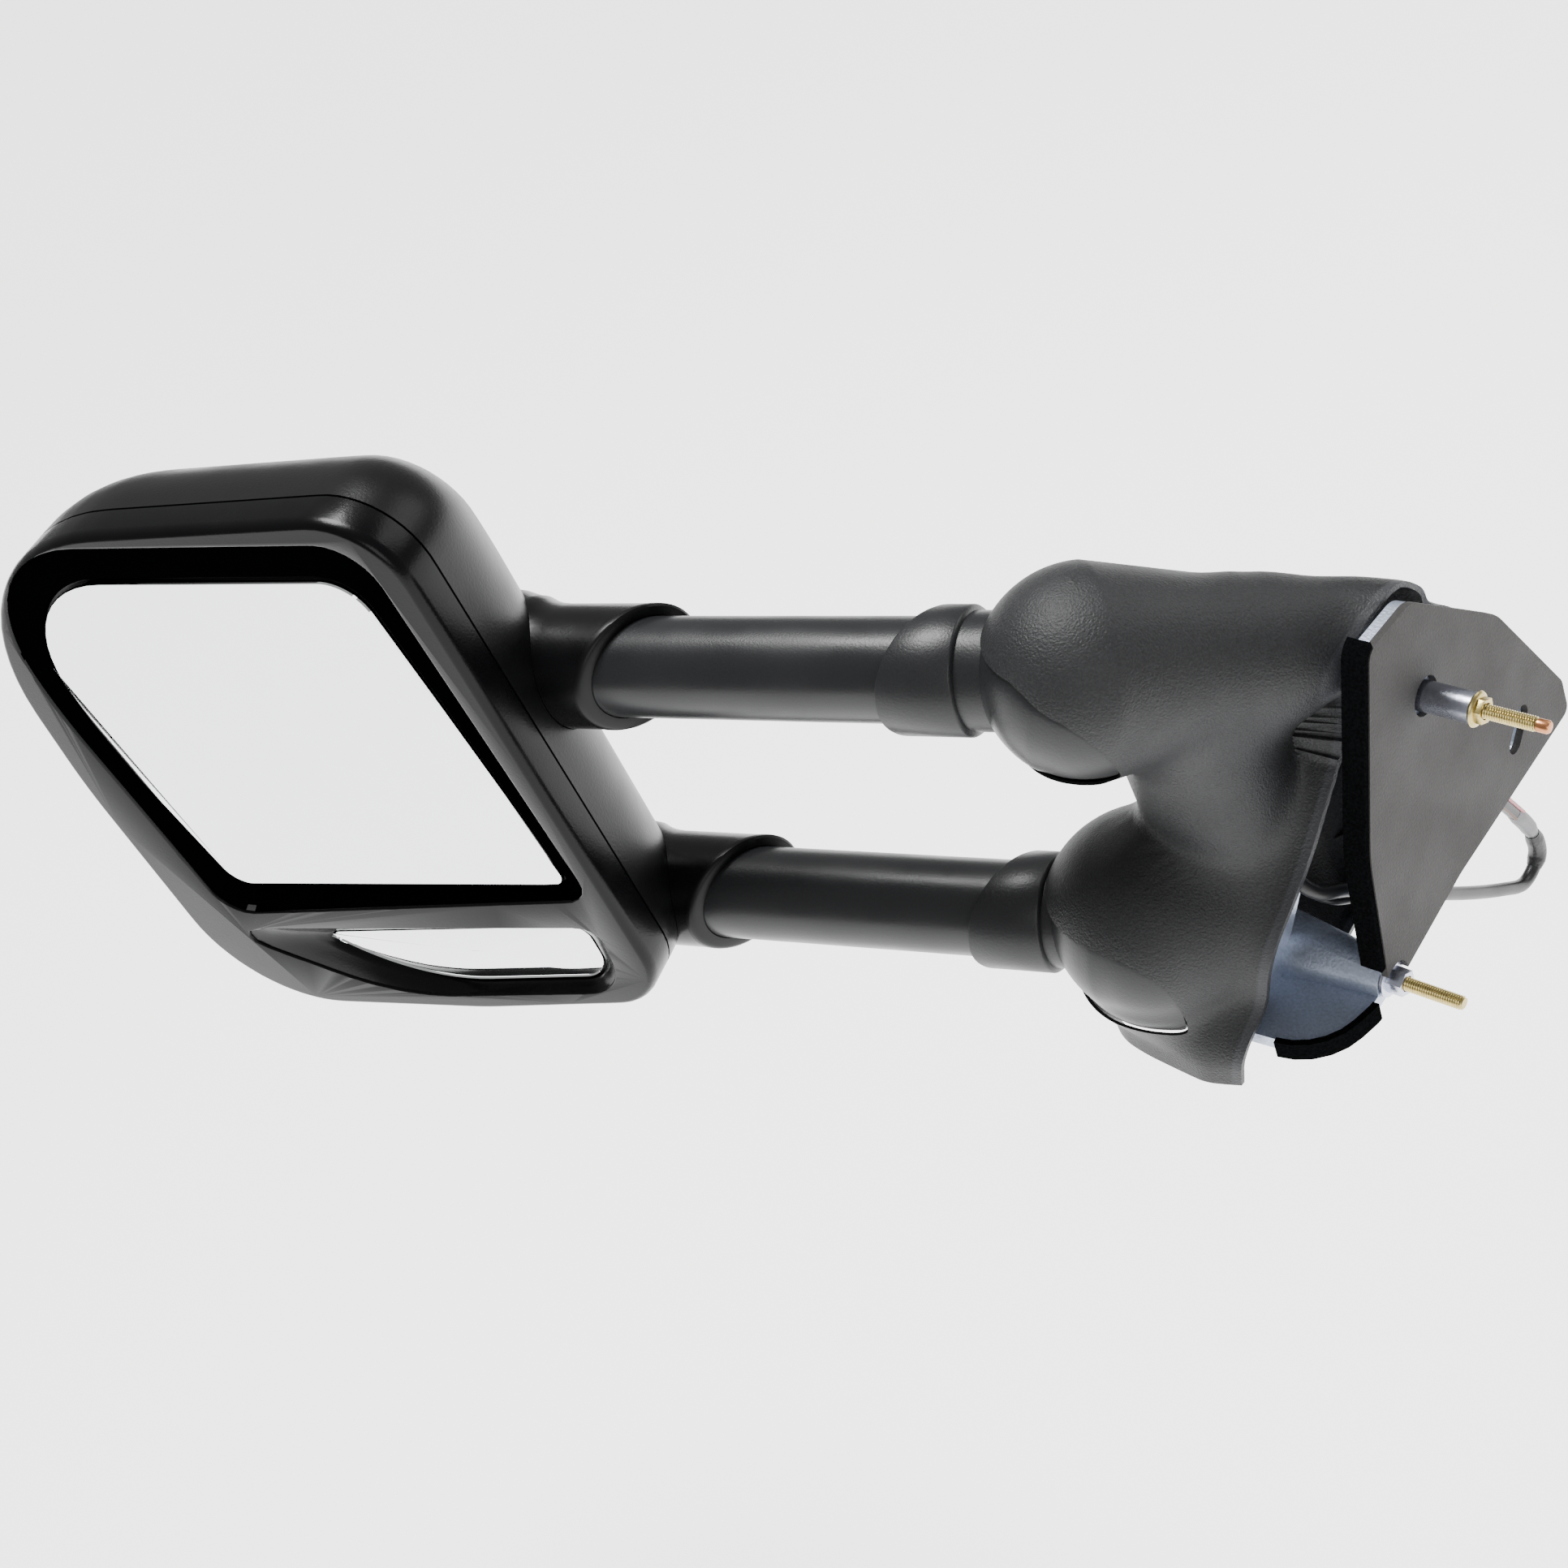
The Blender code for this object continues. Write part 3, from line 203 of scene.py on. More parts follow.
COPPER_FINISH = surface("copper_tip", (0.55, 0.24, 0.11), 0.34, 1.0, grain=0.0012,
                        relief=0.00004, speckle=0.12)
STEEL_FINISH = surface("steel", (0.38, 0.38, 0.40), 0.34, 1.0, grain=0.0012, relief=0.00004,
                       speckle=0.08)
PAD_FINISH = surface("pad_rubber", (0.040, 0.038, 0.037), 0.72, gloss=0.3, grain=0.0011,
                     relief=0.00025, speckle=0.12)
FOAM_FINISH = surface("foam", (0.0035, 0.0037, 0.0040), 0.9, gloss=0.0, grain=0.0012, relief=0.0008,
                      speckle=0.35)
TAPE_FINISH = surface("tape", (0.011, 0.011, 0.012), 0.42, grain=0.0016, relief=0.00025,
                      speckle=0.15)
CABLE_FINISH = surface("cable_jacket", (0.014, 0.014, 0.015), 0.40, grain=0.0012,
                       relief=0.00004, speckle=0.08)
SHEATH_FINISH = surface("grey_sheath", (0.17, 0.17, 0.18), 0.5, grain=0.0010, relief=0.0001,
                        speckle=0.10)
WIRE_FINISHES = {
    "brown": surface("wire_brown", (0.10, 0.035, 0.015), 0.4, grain=0.0012, speckle=0.1),
    "pink": surface("wire_pink", (0.55, 0.20, 0.22), 0.4, grain=0.0012, speckle=0.1),
    "cream": surface("wire_cream", (0.62, 0.55, 0.42), 0.4, grain=0.0012, speckle=0.1),
}


# ---------------------------------------------------------------- modelling helpers
def linked(name, data, where, finish, smooth):
    """A mesh as an object in the scene, smooth but for its sharp edges."""
    data.transform(where)
    made = bpy.data.objects.new(name, data)
    bpy.context.scene.collection.objects.link(made)
    if finish:
        data.materials.append(finish)
    if data.polygons:
        data.shade_smooth()
        data.set_sharp_from_angle(angle=math.radians(smooth))
    return made


def skinned(name, rings, where=ROW, finish=None, joined=False, smooth=SHARP):
    """Rings of equal point counts skinned in order; joined closes the last onto the first."""
    count = len(rings[0])
    points = [tuple(p) for ring in rings for p in ring]
    faces = []
    last = len(rings) if joined else len(rings) - 1
    for row in range(last):
        here, there = row * count, (row + 1) % len(rings) * count
        for i in range(count):
            j = (i + 1) % count
            faces.append((here + i, here + j, there + j, there + i))
    if not joined:
        faces.append(tuple(reversed(range(count))))
        faces.append(tuple(range(len(points) - count, len(points))))
    data = bpy.data.meshes.new(name)
    data.from_pydata(points, [], faces)
    face_out(data)
    return linked(name, data, where, finish, smooth)


def face_out(data):
    """Turn a closed mesh's faces outwards."""
    spots = np.array([v.co for v in data.vertices])
    data.calc_loop_triangles()
    tris = spots[np.array([t.vertices for t in data.loop_triangles])]
    if np.einsum("ij,ij->i", tris[:, 0], np.cross(tris[:, 1], tris[:, 2])).sum() < 0:
        data.flip_normals()


def carved(thing, *others, operation="DIFFERENCE"):
    """Cut others from a solid, or join them to it, and keep the result as its mesh."""
    for other in others:
        step = thing.modifiers.new("carve", "BOOLEAN")
        step.operation = operation
        step.solver = "MANIFOLD"
        step.object = other
    bpy.context.view_layer.update()
    graph_now = bpy.context.evaluated_depsgraph_get()
    data = bpy.data.meshes.new_from_object(thing.evaluated_get(graph_now))
    if not data.polygons:
        raise RuntimeError(f"{thing.name} was carved away")
    thing.modifiers.clear()
    old = thing.data
    kept = list(old.materials)
    thing.data = data
    bpy.data.meshes.remove(old)
    data.materials.clear()
    for finish in kept:
        data.materials.append(finish)
    data.shade_smooth()
    data.set_sharp_from_angle(angle=math.radians(SHARP))
    for other in others:
        bpy.data.objects.remove(other, do_unlink=True)


def softened(thing, width=0.0):
    """Shade a shown node's round faces smooth, and round its sharp edges by a width."""
    weld = thing.modifiers.new("weld", "WELD")
    weld.merge_threshold = WELD
    if width:
        step = thing.modifiers.new("edges", "BEVEL")
        step.width = width
        step.segments = 2
        step.limit_method = "ANGLE"
        step.angle_limit = math.radians(SHARP)
    split = thing.modifiers.new("split", "EDGE_SPLIT")
    split.split_angle = math.radians(NODE_SHARP)


def turn_to(axis):
    """The turn that points Z along an axis."""
    return Vector(axis).to_track_quat("Z", "Y").to_matrix().to_4x4()


def lathed(name, profile, origin, axis, where=ROW, finish=None, sides=ROUND_SIDES, joined=True):
    """(along, radius) points turned about an axis; joined makes a ring, else a solid."""
    base = Matrix.Translation(Vector(origin)) @ turn_to(axis)
    turns = [2 * math.pi * i / sides for i in range(sides)]
    rings = [[base @ Vector((r * math.cos(t), r * math.sin(t), a)) for t in turns]
             for a, r in profile]
    return skinned(name, rings, where, finish, joined=joined)


def block(name, low, high, where=ROW, finish=None):
    """An axis-aligned block between two corners."""
    (x0, y0, z0), (x1, y1, z1) = low, high
    rings = [[(x0, y0, z), (x1, y0, z), (x1, y1, z), (x0, y1, z)] for z in (z0, z1)]
    return skinned(name, rings, where, finish)


def rounded(corners, arc_steps):
    """A closed outline: corners (u, v, radius) in order, each replaced by an arc."""
    points = []
    count = len(corners)
    for i, (u, v, radius) in enumerate(corners):
        here = Vector((u, v))
        back = (Vector(corners[i - 1][:2]) - here).normalized()
        ahead = (Vector(corners[(i + 1) % count][:2]) - here).normalized()
        if radius == 0:
            points.append(here)
            continue
        half = back.angle(ahead) / 2
        centre = here + (back + ahead).normalized() * radius / math.sin(half)
        first = here + back * radius / math.tan(half) - centre
        sweep = first.angle_signed(here + ahead * radius / math.tan(half) - centre)
        for step in range(arc_steps + 1):
            turn = Matrix.Rotation(-sweep * step / arc_steps, 2)
            points.append(centre + turn @ first)
    return [(p.x, p.y) for p in points]


def around(outline, centre, count):
    """The outline read at equal angles about a point inside it."""
    found = []
    loop = [np.array(p) - np.array(centre) for p in outline]
    for step in range(count):
        angle = 2 * math.pi * step / count
        ray = np.array((math.cos(angle), math.sin(angle)))
        best = 0.0
        for p, q in zip(loop, loop[1:] + loop[:1]):
            edge = q - p
            cross = ray[0] * edge[1] - ray[1] * edge[0]
            if abs(cross) < 1e-12:
                continue
            reach = (p[0] * edge[1] - p[1] * edge[0]) / cross
            share = (p[0] * ray[1] - p[1] * ray[0]) / cross
            if reach > 0 and -1e-9 <= share <= 1 + 1e-9:
                best = max(best, reach)
        found.append(np.array(centre) + best * ray)
    return np.array(found)


def inset(outline, distance):
    """A closed outline moved inwards by a distance, corner by corner."""
    points = [Vector(p) for p in outline]
    area = sum(p.x * q.y - q.x * p.y for p, q in zip(points, points[1:] + points[:1]))
    side = 1 if area > 0 else -1
    moved = []
    for i, here in enumerate(points):
        before = (here - points[i - 1]).normalized()
        after = (points[(i + 1) % len(points)] - here).normalized()
        normal = Vector((-before.y - after.y, before.x + after.x)).normalized() * side
        shrink = max(0.3, abs(normal.dot(Vector((-after.y, after.x)))))
        moved.append(tuple(here + normal * distance / shrink))
    return moved


def smooth_curve(points, count):
    """Catmull-Rom curve through the points, as count + 1 points."""
    path = [Vector(p) for p in points]
    path = [2 * path[0] - path[1]] + path + [2 * path[-1] - path[-2]]
    spans = len(path) - 3
    found = []
    for step in range(count + 1):
        along = min(step * spans / count, spans - 1e-9)
        k = int(along)
        t = along - k
        a, b, c, d = path[k:k + 4]
        found.append(0.5 * (2 * b + (c - a) * t + (2 * a - 5 * b + 4 * c - d) * t ** 2
                            + (3 * b - a - 3 * c + d) * t ** 3))
    return found


def cable(name, route, radius, finish, taper=None):
    """A round cord along a route, with filled ends and an optional taper at both ends."""
    curve = bpy.data.curves.new(name, "CURVE")
    curve.dimensions = "3D"
    curve.bevel_depth = radius
    curve.bevel_resolution = 6
    curve.use_fill_caps = True
    spline = curve.splines.new("POLY")
    spline.points.add(len(route) - 1)
    for i, (knot, spot) in enumerate(zip(spline.points, route)):
        knot.co = (*spot, 1)
        if taper:
            knot.radius = min(1.0, taper + (1 - taper) * min(i, len(route) - 1 - i) / 3)
    spline.use_smooth = True
    curve.materials.append(finish)
    made = bpy.data.objects.new(name, curve)
    bpy.context.scene.collection.objects.link(made)
    return made


# ---------------------------------------------------------------- cords
HARNESS_ROUTE = [
    (-0.0480, -0.0420, 0.0100), (-0.0360, -0.0520, -0.0010), (-0.0270, -0.0500, -0.0120),
    (-0.0215, -0.0370, -0.0210), (-0.0180, -0.0080, -0.0500), (-0.0170, 0.0280, -0.0860),
    (-0.0160, 0.0570, -0.1120), (-0.0155, 0.0740, -0.1240), (-0.0155, 0.0870, -0.1180),
    (-0.0155, 0.0840, -0.1000), (-0.0160, 0.0740, -0.0800), (-0.0160, 0.0600, -0.0560),
    (-0.0165, 0.0480, -0.0360)]
HARNESS_D = 0.0060
BRANCH_D = 0.0036
TAPE_R = 0.0040
SHEATH_R = 0.0037
WIRE_R = 0.0008
WIRE_OFFSET = 0.0034                # from the harness centreline to each wire
BRANCH_ROUTE = [
    (-0.0500, -0.0330, -0.0040), (-0.0400, -0.0420, -0.0200), (-0.0300, -0.0380, -0.0300),
    (-0.0235, -0.0220, -0.0400), (-0.0205, -0.0060, -0.0540), (-0.0190, 0.0060, -0.0660)]


def make_cords():
    """The taped pigtail, the thin second cable, the tape, the grey sheath and its wires."""
    route = smooth_curve(HARNESS_ROUTE, 160)
    harness = cable("harness_cable", route, HARNESS_D / 2, CABLE_FINISH)
    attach(harness, "base")
    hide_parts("harness")
    around_bend = cable("harness_tape_wrap", route[101:119], TAPE_R, TAPE_FINISH, taper=0.80)
    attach(around_bend, "base")
    sheath = cable("harness_sheath", route[119:134], SHEATH_R, SHEATH_FINISH, taper=0.84)
    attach(sheath, "base")
    wires = []
    for i, (colour, finish) in enumerate(WIRE_FINISHES.items()):
        turn = math.radians(100 * i - 60)
        side = Vector((math.cos(turn), math.sin(turn), 0.3)).normalized() * WIRE_OFFSET
        beside = [p + side for p in route[131:154]]
        wires.append(cable(f"harness_wire_{colour}", beside, WIRE_R, finish))
        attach(wires[-1], "base")
    thin = smooth_curve(BRANCH_ROUTE, 60)
    branch = cable("harness_branch", thin, BRANCH_D / 2, CABLE_FINISH)
    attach(branch, "base")


make_cords()


# ---------------------------------------------------------------- base cover
BODY = [
    ((-0.0880, -0.0740, 0.1060), 0.0420, (-0.0500, -0.0260, 0.0855), 0.0285),
    ((-0.0500, -0.0260, 0.0855), 0.0285, (-0.0140, 0.0150, 0.0835), 0.0145),
    ((-0.0540, 0.0040, 0.0580), 0.0290, (-0.0300, 0.0300, 0.0380), 0.0290),
    ((-0.0910, -0.0745, -0.0285), 0.0465, (-0.0560, -0.0400, -0.0340), 0.0380),
    ((-0.0690, -0.0450, 0.0640), 0.0325, (-0.0690, -0.0330, -0.0400), 0.0340),
    ((-0.0180, 0.0100, 0.0740), 0.0145, (-0.0560, -0.0730, -0.0660), 0.0195),
    ((-0.0900, -0.0820, -0.0600), 0.0240, (-0.0600, -0.0850, -0.0720), 0.0230),
    ((-0.0500, 0.0000, 0.0000), 0.0340, (-0.0360, 0.0700, -0.0200), 0.0240),
    ((-0.0180, 0.0200, 0.0500), 0.0200, (-0.0300, 0.0000, -0.0300), 0.0280)]
BLEND = 0.012
FLARE = 0.003
FLARE_WIDTH = 0.012
FRONT_EDGE = (-0.0080, 0.0115, 0.1045)
FRONT_NORMAL = tuple(Vector((0, 0.747, 0.665)).normalized())
FRONT_BLEND = 0.006
COVER_TOP = 0.1479
COVER_SKIRT = -0.0700
COVER_LOW = -0.0900
COVER_WALL = 0.0022
LOW_EDGE = (-0.0420, -0.1010, -0.0805)
LOW_NORMAL = (0, 0.065, -1)
COVER_SIDES = 168
COVER_LEVELS = 110
CORE = [
    (-0.0700, -0.068, -0.080), (-0.0450, -0.068, -0.062), (0.0400, -0.056, -0.030),
    (0.1060, -0.078, -0.060), (0.1600, -0.088, -0.073)]
SLOTS = {                           # (degrees from the arm to the glass side, low, high)
    "upper": [
        (0, -0.0240, 0.0240), (45, -0.0262, 0.0240), (65, -0.0268, 0.0236),
        (76, -0.0272, 0.0208), (87, -0.0276, 0.0156), (98, -0.0280, 0.0110),
        (106, -0.0280, 0.0050), (112, -0.0278, -0.0030), (115.5, -0.0272, -0.0110),
        (117.6, -0.0262, -0.0180), (118.6, -0.0240, -0.0222)],
    "lower": [
        (0, -0.0240, 0.0240), (45, -0.0262, 0.0240), (65, -0.0268, 0.0236),
        (76, -0.0270, 0.0226), (90, -0.0272, 0.0200), (103, -0.0268, 0.0130),
        (108, -0.0262, 0.0070), (110.7, -0.0256, 0.0010), (112.4, -0.0246, -0.0080),
        (113.0, -0.0232, -0.0150), (113.2, -0.0205, -0.0180)]}
LEAVES = {"upper": (UPPER_Z, 0.0375, 1.000), "lower": (LOWER_Z, 0.0392, 0.920)}
LEAF_SEAM = 0.0010
LEAF_DEPTH = 0.0014
FOLD_RANGE = 50                     # degrees
LOBE_WALL = 0.0012                  # the cover's wall round the fold axes
NECK_R = 0.0232
NECK_END = -0.0440
CUT_REACH = 0.4
KNUCKLE_WALL = 0.0023
NECK_PLAY = 0.0008


def body_distance(points):
    """Distance from points to the blended skin of BODY, negative inside."""
    total = None
    for start, r0, end, r1 in BODY:
        a, b = np.array(start), np.array(end)
        share = np.clip((points - a) @ (b - a) / ((b - a) @ (b - a)), 0, 1)[:, None]
        gap = np.linalg.norm(points - a - share * (b - a), axis=1)
        gap = gap - (r0 + (r1 - r0) * share[:, 0])
        if total is None:
            total = gap
            continue
        mix = np.clip(0.5 + 0.5 * (total - gap) / BLEND, 0, 1)
        total = total * (1 - mix) + gap * mix - BLEND * mix * (1 - mix)
    inset_from_door = (np.array(DOOR_EDGE) - points) @ np.array(DOOR_NORMAL)
    total = total - FLARE * np.clip(1 - inset_from_door / FLARE_WIDTH, 0, 1.3) ** 2
    slope = (points - np.array(FRONT_EDGE)) @ np.array(FRONT_NORMAL)
    mix = np.clip(0.5 + 0.5 * (slope - total) / FRONT_BLEND, 0, 1)
    return total * (1 - mix) + slope * mix + FRONT_BLEND * mix * (1 - mix)


def cover_form(name, depth, finish=None):
    """The cover's outer form, or the hollow at a depth inside it, as level sections."""
    high = COVER_TOP - depth
    levels = [COVER_LOW + (COVER_TOP - COVER_LOW) * (1 - (1 - step / COVER_LEVELS) ** 1.5)
              for step in range(COVER_LEVELS + 1)]
    levels = [COVER_LOW - 2 * depth] + [z for z in levels[1:] if z < high - 0.0002] + [high]
    angles = 2 * math.pi * np.arange(COVER_SIDES) / COVER_SIDES
    rays = np.stack([np.cos(angles), np.sin(angles)], axis=1)
    heights = np.array(levels)
    core = np.stack([np.interp(heights, [c[0] for c in CORE], [c[axis] for c in CORE])
                     for axis in (1, 2)], axis=1)[:, None, :]
    reach = np.full((len(levels), COVER_SIDES), 0.25)
    level = np.broadcast_to(np.maximum(heights, COVER_SKIRT)[:, None, None],
                            (*reach.shape, 1))
    for _ in range(90):
        flat = core + rays * reach[:, :, None]
        spots = np.concatenate([flat, level], axis=2).reshape(-1, 3)
        gap = body_distance(spots) + depth
        if depth:
            off_axis = np.hypot(spots[:, 0] - FOLD.x, spots[:, 1] - FOLD.y)
            gap -= (depth - LOBE_WALL) * np.clip((0.062 - off_axis) / 0.010, 0, 1)
        gap = gap.reshape(reach.shape)
        reach = np.maximum(reach - 0.8 * gap, 0.0004)
    flat = core + rays * reach[:, :, None]
    rings = [[(x, y, z) for x, y in ring] for ring, z in zip(flat.tolist(), levels)]
    return skinned(name, rings, ROW, finish)


def arc_point(radius, degrees):
    """A point in the arm frame's plan, turned from the arm towards the glass side."""
    angle = math.radians(180 + degrees)
    return (radius * math.cos(angle), radius * math.sin(angle))


def slot_edges(which, angle):
    """Low and high edge of an arm's fold slot at an angle."""
    degrees, lows, highs = zip(*SLOTS[which])
    return np.interp(angle, degrees, lows), np.interp(angle, degrees, highs)


def slot_cutter(which, near, far):
    """A wedge round the fold axis with the fold slot's outline, from one radius to another."""
    height = LEAVES[which][0]
    rings = []
    for angle in np.linspace(0, SLOTS[which][-1][0], 120):
        low, high = slot_edges(which, angle)
        rings.append([(*arc_point(radius, angle), height + z)
                      for radius, z in ((near, low), (far, low), (far, high), (near, high))])
    return skinned("slot_way", rings, ARM)


def swept_radius(which):
    """Least radius of the skin that a point of the leaf passes under as the arm folds.

    A row for every 2 degrees from the arm, and a column for each height."""
    heights = LEAVES[which][0] + np.linspace(-0.0320, 0.0300, 32)
    angles = np.radians(180 + np.arange(0, 126 + FOLD_RANGE, 2.0))[:, None]
    reach = np.full((len(angles), len(heights)), 0.012)
    levels = np.broadcast_to(heights, reach.shape)
    for _ in range(80):
        spots = np.stack([FOLD.x + reach * np.cos(angles + SWING),
                          FOLD.y + reach * np.sin(angles + SWING), levels], axis=2)
        gap = body_distance(spots.reshape(-1, 3)).reshape(reach.shape)
        reach = np.clip(reach - 0.8 * gap, 0.005, 0.120)
    shifts = FOLD_RANGE // 2 + 1
    rows = len(angles) - shifts + 1
    return heights, np.minimum.reduce([reach[i:i + rows] for i in range(shifts)])


def leaf_patch(which, seam, depth, thickness, past):
    """A layer of the knuckle cover's leaf, which fills the fold slot below the cover's skin."""
    height = LEAVES[which][0]
    heights, table = swept_radius(which)
    rings = []
    for angle in np.linspace(8, SLOTS[which][-1][0] + past, 64):
        low, high = slot_edges(which, angle)
        share = np.linspace(0, 1, 22)
        levels = height + low + seam + share * (high - low - 2 * seam)
        edge = np.minimum(1, np.minimum(share, 1 - share) / 0.07)
        row = int(angle // 2)
        mix = angle / 2 - row
        radii = table[row] * (1 - mix) + table[row + 1] * mix
        outer = np.interp(levels, heights, radii) - depth - 0.0005 * (1 - edge) ** 2
        ring = [(*arc_point(r, angle), z) for r, z in zip(outer, levels)]
        ring += [(*arc_point(r - thickness, angle), z)
                 for r, z in zip(outer[::-1], levels[::-1])]
        rings.append(ring)
    return skinned("leaf_patch", rings, ARM)


def leaf_profile(ball, roundness, high, low, wall):
    """Closed profile of a hollow ball round the fold axis."""
    levels = np.linspace(high, low, 28)
    outer = [(z, math.sqrt(ball ** 2 - (z if z > 0 else roundness * z) ** 2))
             for z in levels]
    return outer + [(z, r - wall) for z, r in reversed(outer)]


def make_cover():
    """Moulded skin over both pivots, with fold slots, a neck hole for each arm and a lip."""
    cover = cover_form("base_cover_skin", 0.0, COVER_FINISH)
    hollow = cover_form("cover_hollow", COVER_WALL)
    cutters = [hollow]
    for point, normal in ((DOOR_EDGE, DOOR_NORMAL), (LOW_EDGE, LOW_NORMAL)):
        cutters.append(block("edge_cut", (-CUT_REACH, -CUT_REACH, 0), (CUT_REACH,) * 3,
                             Matrix.Translation(point) @ turn_to(normal)))
    for which, (height, _, _) in LEAVES.items():
        profile = [(-0.110, NECK_R + NECK_PLAY), (-0.015, NECK_R + NECK_PLAY)]
        cutters.append(lathed("neck_way", profile, (0, 0, height), (1, 0, 0), ARM, joined=False))
        cutters.append(slot_cutter(which, 0.010, 0.060))
    carved(cover, *cutters)
    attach(cover, "base")
    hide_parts("base_cover")


def ring_x(x, radius, height):
    """A circle square to an arm."""
    turns = [2 * math.pi * i / ROUND_SIDES for i in range(ROUND_SIDES)]
    return [(x, radius * math.cos(t), height + radius * math.sin(t)) for t in turns]


def make_knuckle_cover(which):
    """Collar round an arm's root, with the leaf that fills the fold slot."""
    height, ball, roundness = LEAVES[which]
    profile = leaf_profile(ball, roundness, 0.0262, -0.0286, KNUCKLE_WALL)
    cover = lathed(f"{which}_knuckle_skin", profile, (0, 0, height), (0, 0, 1), ARM,
                   KNUCKLE_FINISH)
    root = math.sqrt((ball - KNUCKLE_WALL) ** 2 - NECK_R ** 2) - 0.0010
    rings = [ring_x(-root, NECK_R, height), ring_x(NECK_END, NECK_R, height),
             ring_x(NECK_END - 0.0006, COLLAR_R - 0.0005, height),
             ring_x(NECK_END - 0.0014, COLLAR_R, height)]
    for back, shrink in ((0.0012, 0.0), (0.0003, 0.0003), (0.0, 0.0011)):
        rings.append([(COLLAR_END + back + y * math.tan(COLLAR_LEAN), y, z)
                      for _, y, z in ring_x(0, COLLAR_R - shrink, height)])
    collar = skinned("collar", rings, ARM)
    bore = lathed("collar_bore", [(-0.0900, TUBE_R + GAP), (-0.0240, TUBE_R + GAP)],
                  (0, 0, height), (1, 0, 0), ARM, joined=False)
    corners = [(0.0, 0.0), arc_point(0.09, 130), arc_point(0.12, 180), arc_point(0.12, 240),
               arc_point(0.09, 300)]
    opening = skinned("ball_open", [[(x, y, height + z) for x, y in corners]
                                    for z in (-0.05, 0.05)], ARM)
    leaf = leaf_patch(which, LEAF_SEAM, LEAF_DEPTH, 0.0030, -1.0)
    flange = leaf_patch(which, -0.0016, 0.0034, 0.0012, 1.4)
    carved(cover, collar, leaf, flange, operation="UNION")
    carved(cover, bore, opening)
    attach(cover, "arms")
    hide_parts(f"{which}_knuckle_cover")


def make_tube(which):
    """An arm's round tube, with small chamfers on its ends."""
    height = LEAVES[which][0]
    inner = TUBE_R - 0.0020
    profile = [(-0.2620, inner), (-0.2620, TUBE_R - 0.0004), (-0.2616, TUBE_R),
               (-0.0304, TUBE_R), (-0.0300, TUBE_R - 0.0004), (-0.0300, inner)]
    tube = lathed(f"{which}_tube_skin", profile, (0, 0, height), (1, 0, 0), ARM, TUBE_FINISH)
    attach(tube, "arms")
    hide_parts(f"{which}_arm_tube")


make_cover()
for arm in LEAVES:
    make_knuckle_cover(arm)
    make_tube(arm)


# ---------------------------------------------------------------- mirror head
HEAD = [                            # outlines: (x, z, corner radius) in the arm frame
    (-0.4846, 0.2195, 0.105), (-0.4881, 0.0750, 0.300), (-0.4738, -0.0763, 0.062),
    (-0.3250, -0.0650, 0.200), (-0.2150, -0.0475, 0.032), (-0.2380, 0.2279, 0.036)]
BACK = [
    (-0.4300, 0.1500, 0.040), (-0.4150, -0.0520, 0.040), (-0.2900, -0.0500, 0.030),
    (-0.2950, 0.1500, 0.030)]
HEAD_CENTRE = (-0.356, 0.076)
MAIN_GLASS = [
    (-0.4600, 0.1938, 0.060), (-0.4640, 0.1050, 0.250), (-0.4395, 0.0062, 0.014),
    (-0.2430, 0.0211, 0.007), (-0.2590, 0.1250, 0.250), (-0.2700, 0.1930, 0.020)]
MAIN_OPENING = [
    (-0.4670, 0.2165, 0.072), (-0.4705, 0.1250, 0.250), (-0.4500, -0.0090, 0.018),
    (-0.2305, 0.0190, 0.012), (-0.2420, 0.1250, 0.250), (-0.2520, 0.2155, 0.024)]
SPOT_GLASS = [
    (-0.4060, -0.0252, 0.004), (-0.3640, -0.0570, 0.110), (-0.2460, -0.0400, 0.018),
    (-0.2480, -0.0060, 0.008)]
SPOT_OPENING = [
    (-0.4640, -0.0215, 0.006), (-0.3720, -0.0605, 0.130), (-0.2400, -0.0420, 0.024),
    (-0.2340, 0.0010, 0.010)]
SHELL_CURVE = 2.4
SHELL_WALL = 0.0025
HEAD_SIDES = 240
SHELL_STEPS = 48
RECESS_SIDES = 200
MAIN_GLASS_Y = -0.0480
SPOT_GLASS_Y = -0.0475
SPOT_DOME = 0.0014


def at_y(outline, y):
    """An (x, z) outline as points at one depth."""
    return [(x, y, z) for x, z in outline]


def back_rings(count, steps, shrink=0.0):
    """Rings of the back shell, or of its inside, from the seam to its flat crown."""
    seam = around(inset(rounded(HEAD, ARC_STEPS), shrink), HEAD_CENTRE, count)
    crown = around(inset(rounded(BACK, ARC_STEPS), shrink), HEAD_CENTRE, count)
    rings = [at_y(seam, SEAM_Y - (0.002 if shrink else 0))]
    for step in range(steps + 1):
        depth = math.sin(math.pi / 2 * step / steps)
        late = depth ** SHELL_CURVE
        rings.append(at_y(seam * (1 - late) + crown * late,
                          SEAM_Y + SEAM_BAND + (HEAD_DEPTH - SEAM_BAND - shrink) * depth))
    return rings


def sleeve_way(height, radius):
    """Cutter for the hole that a sleeve passes through."""
    return lathed("sleeve_way", [(-0.3003, radius), (-0.1500, radius)], (0, 0, height),
                  (1, 0, 0), ARM, joined=False)


def make_back_shell():
    """Moulded back of the head, with a way for each sleeve."""
    shell = skinned("back_shell_skin", back_rings(HEAD_SIDES, SHELL_STEPS), ARM, SHELL_FINISH)
    inside = skinned("shell_hollow", back_rings(HEAD_SIDES, SHELL_STEPS, SHELL_WALL), ARM)
    ways = [sleeve_way(height, SLEEVE_R + GAP) for height, _, _ in LEAVES.values()]
    carved(shell, inside, *ways)
    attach(shell, "head")
    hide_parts("head_back_shell")


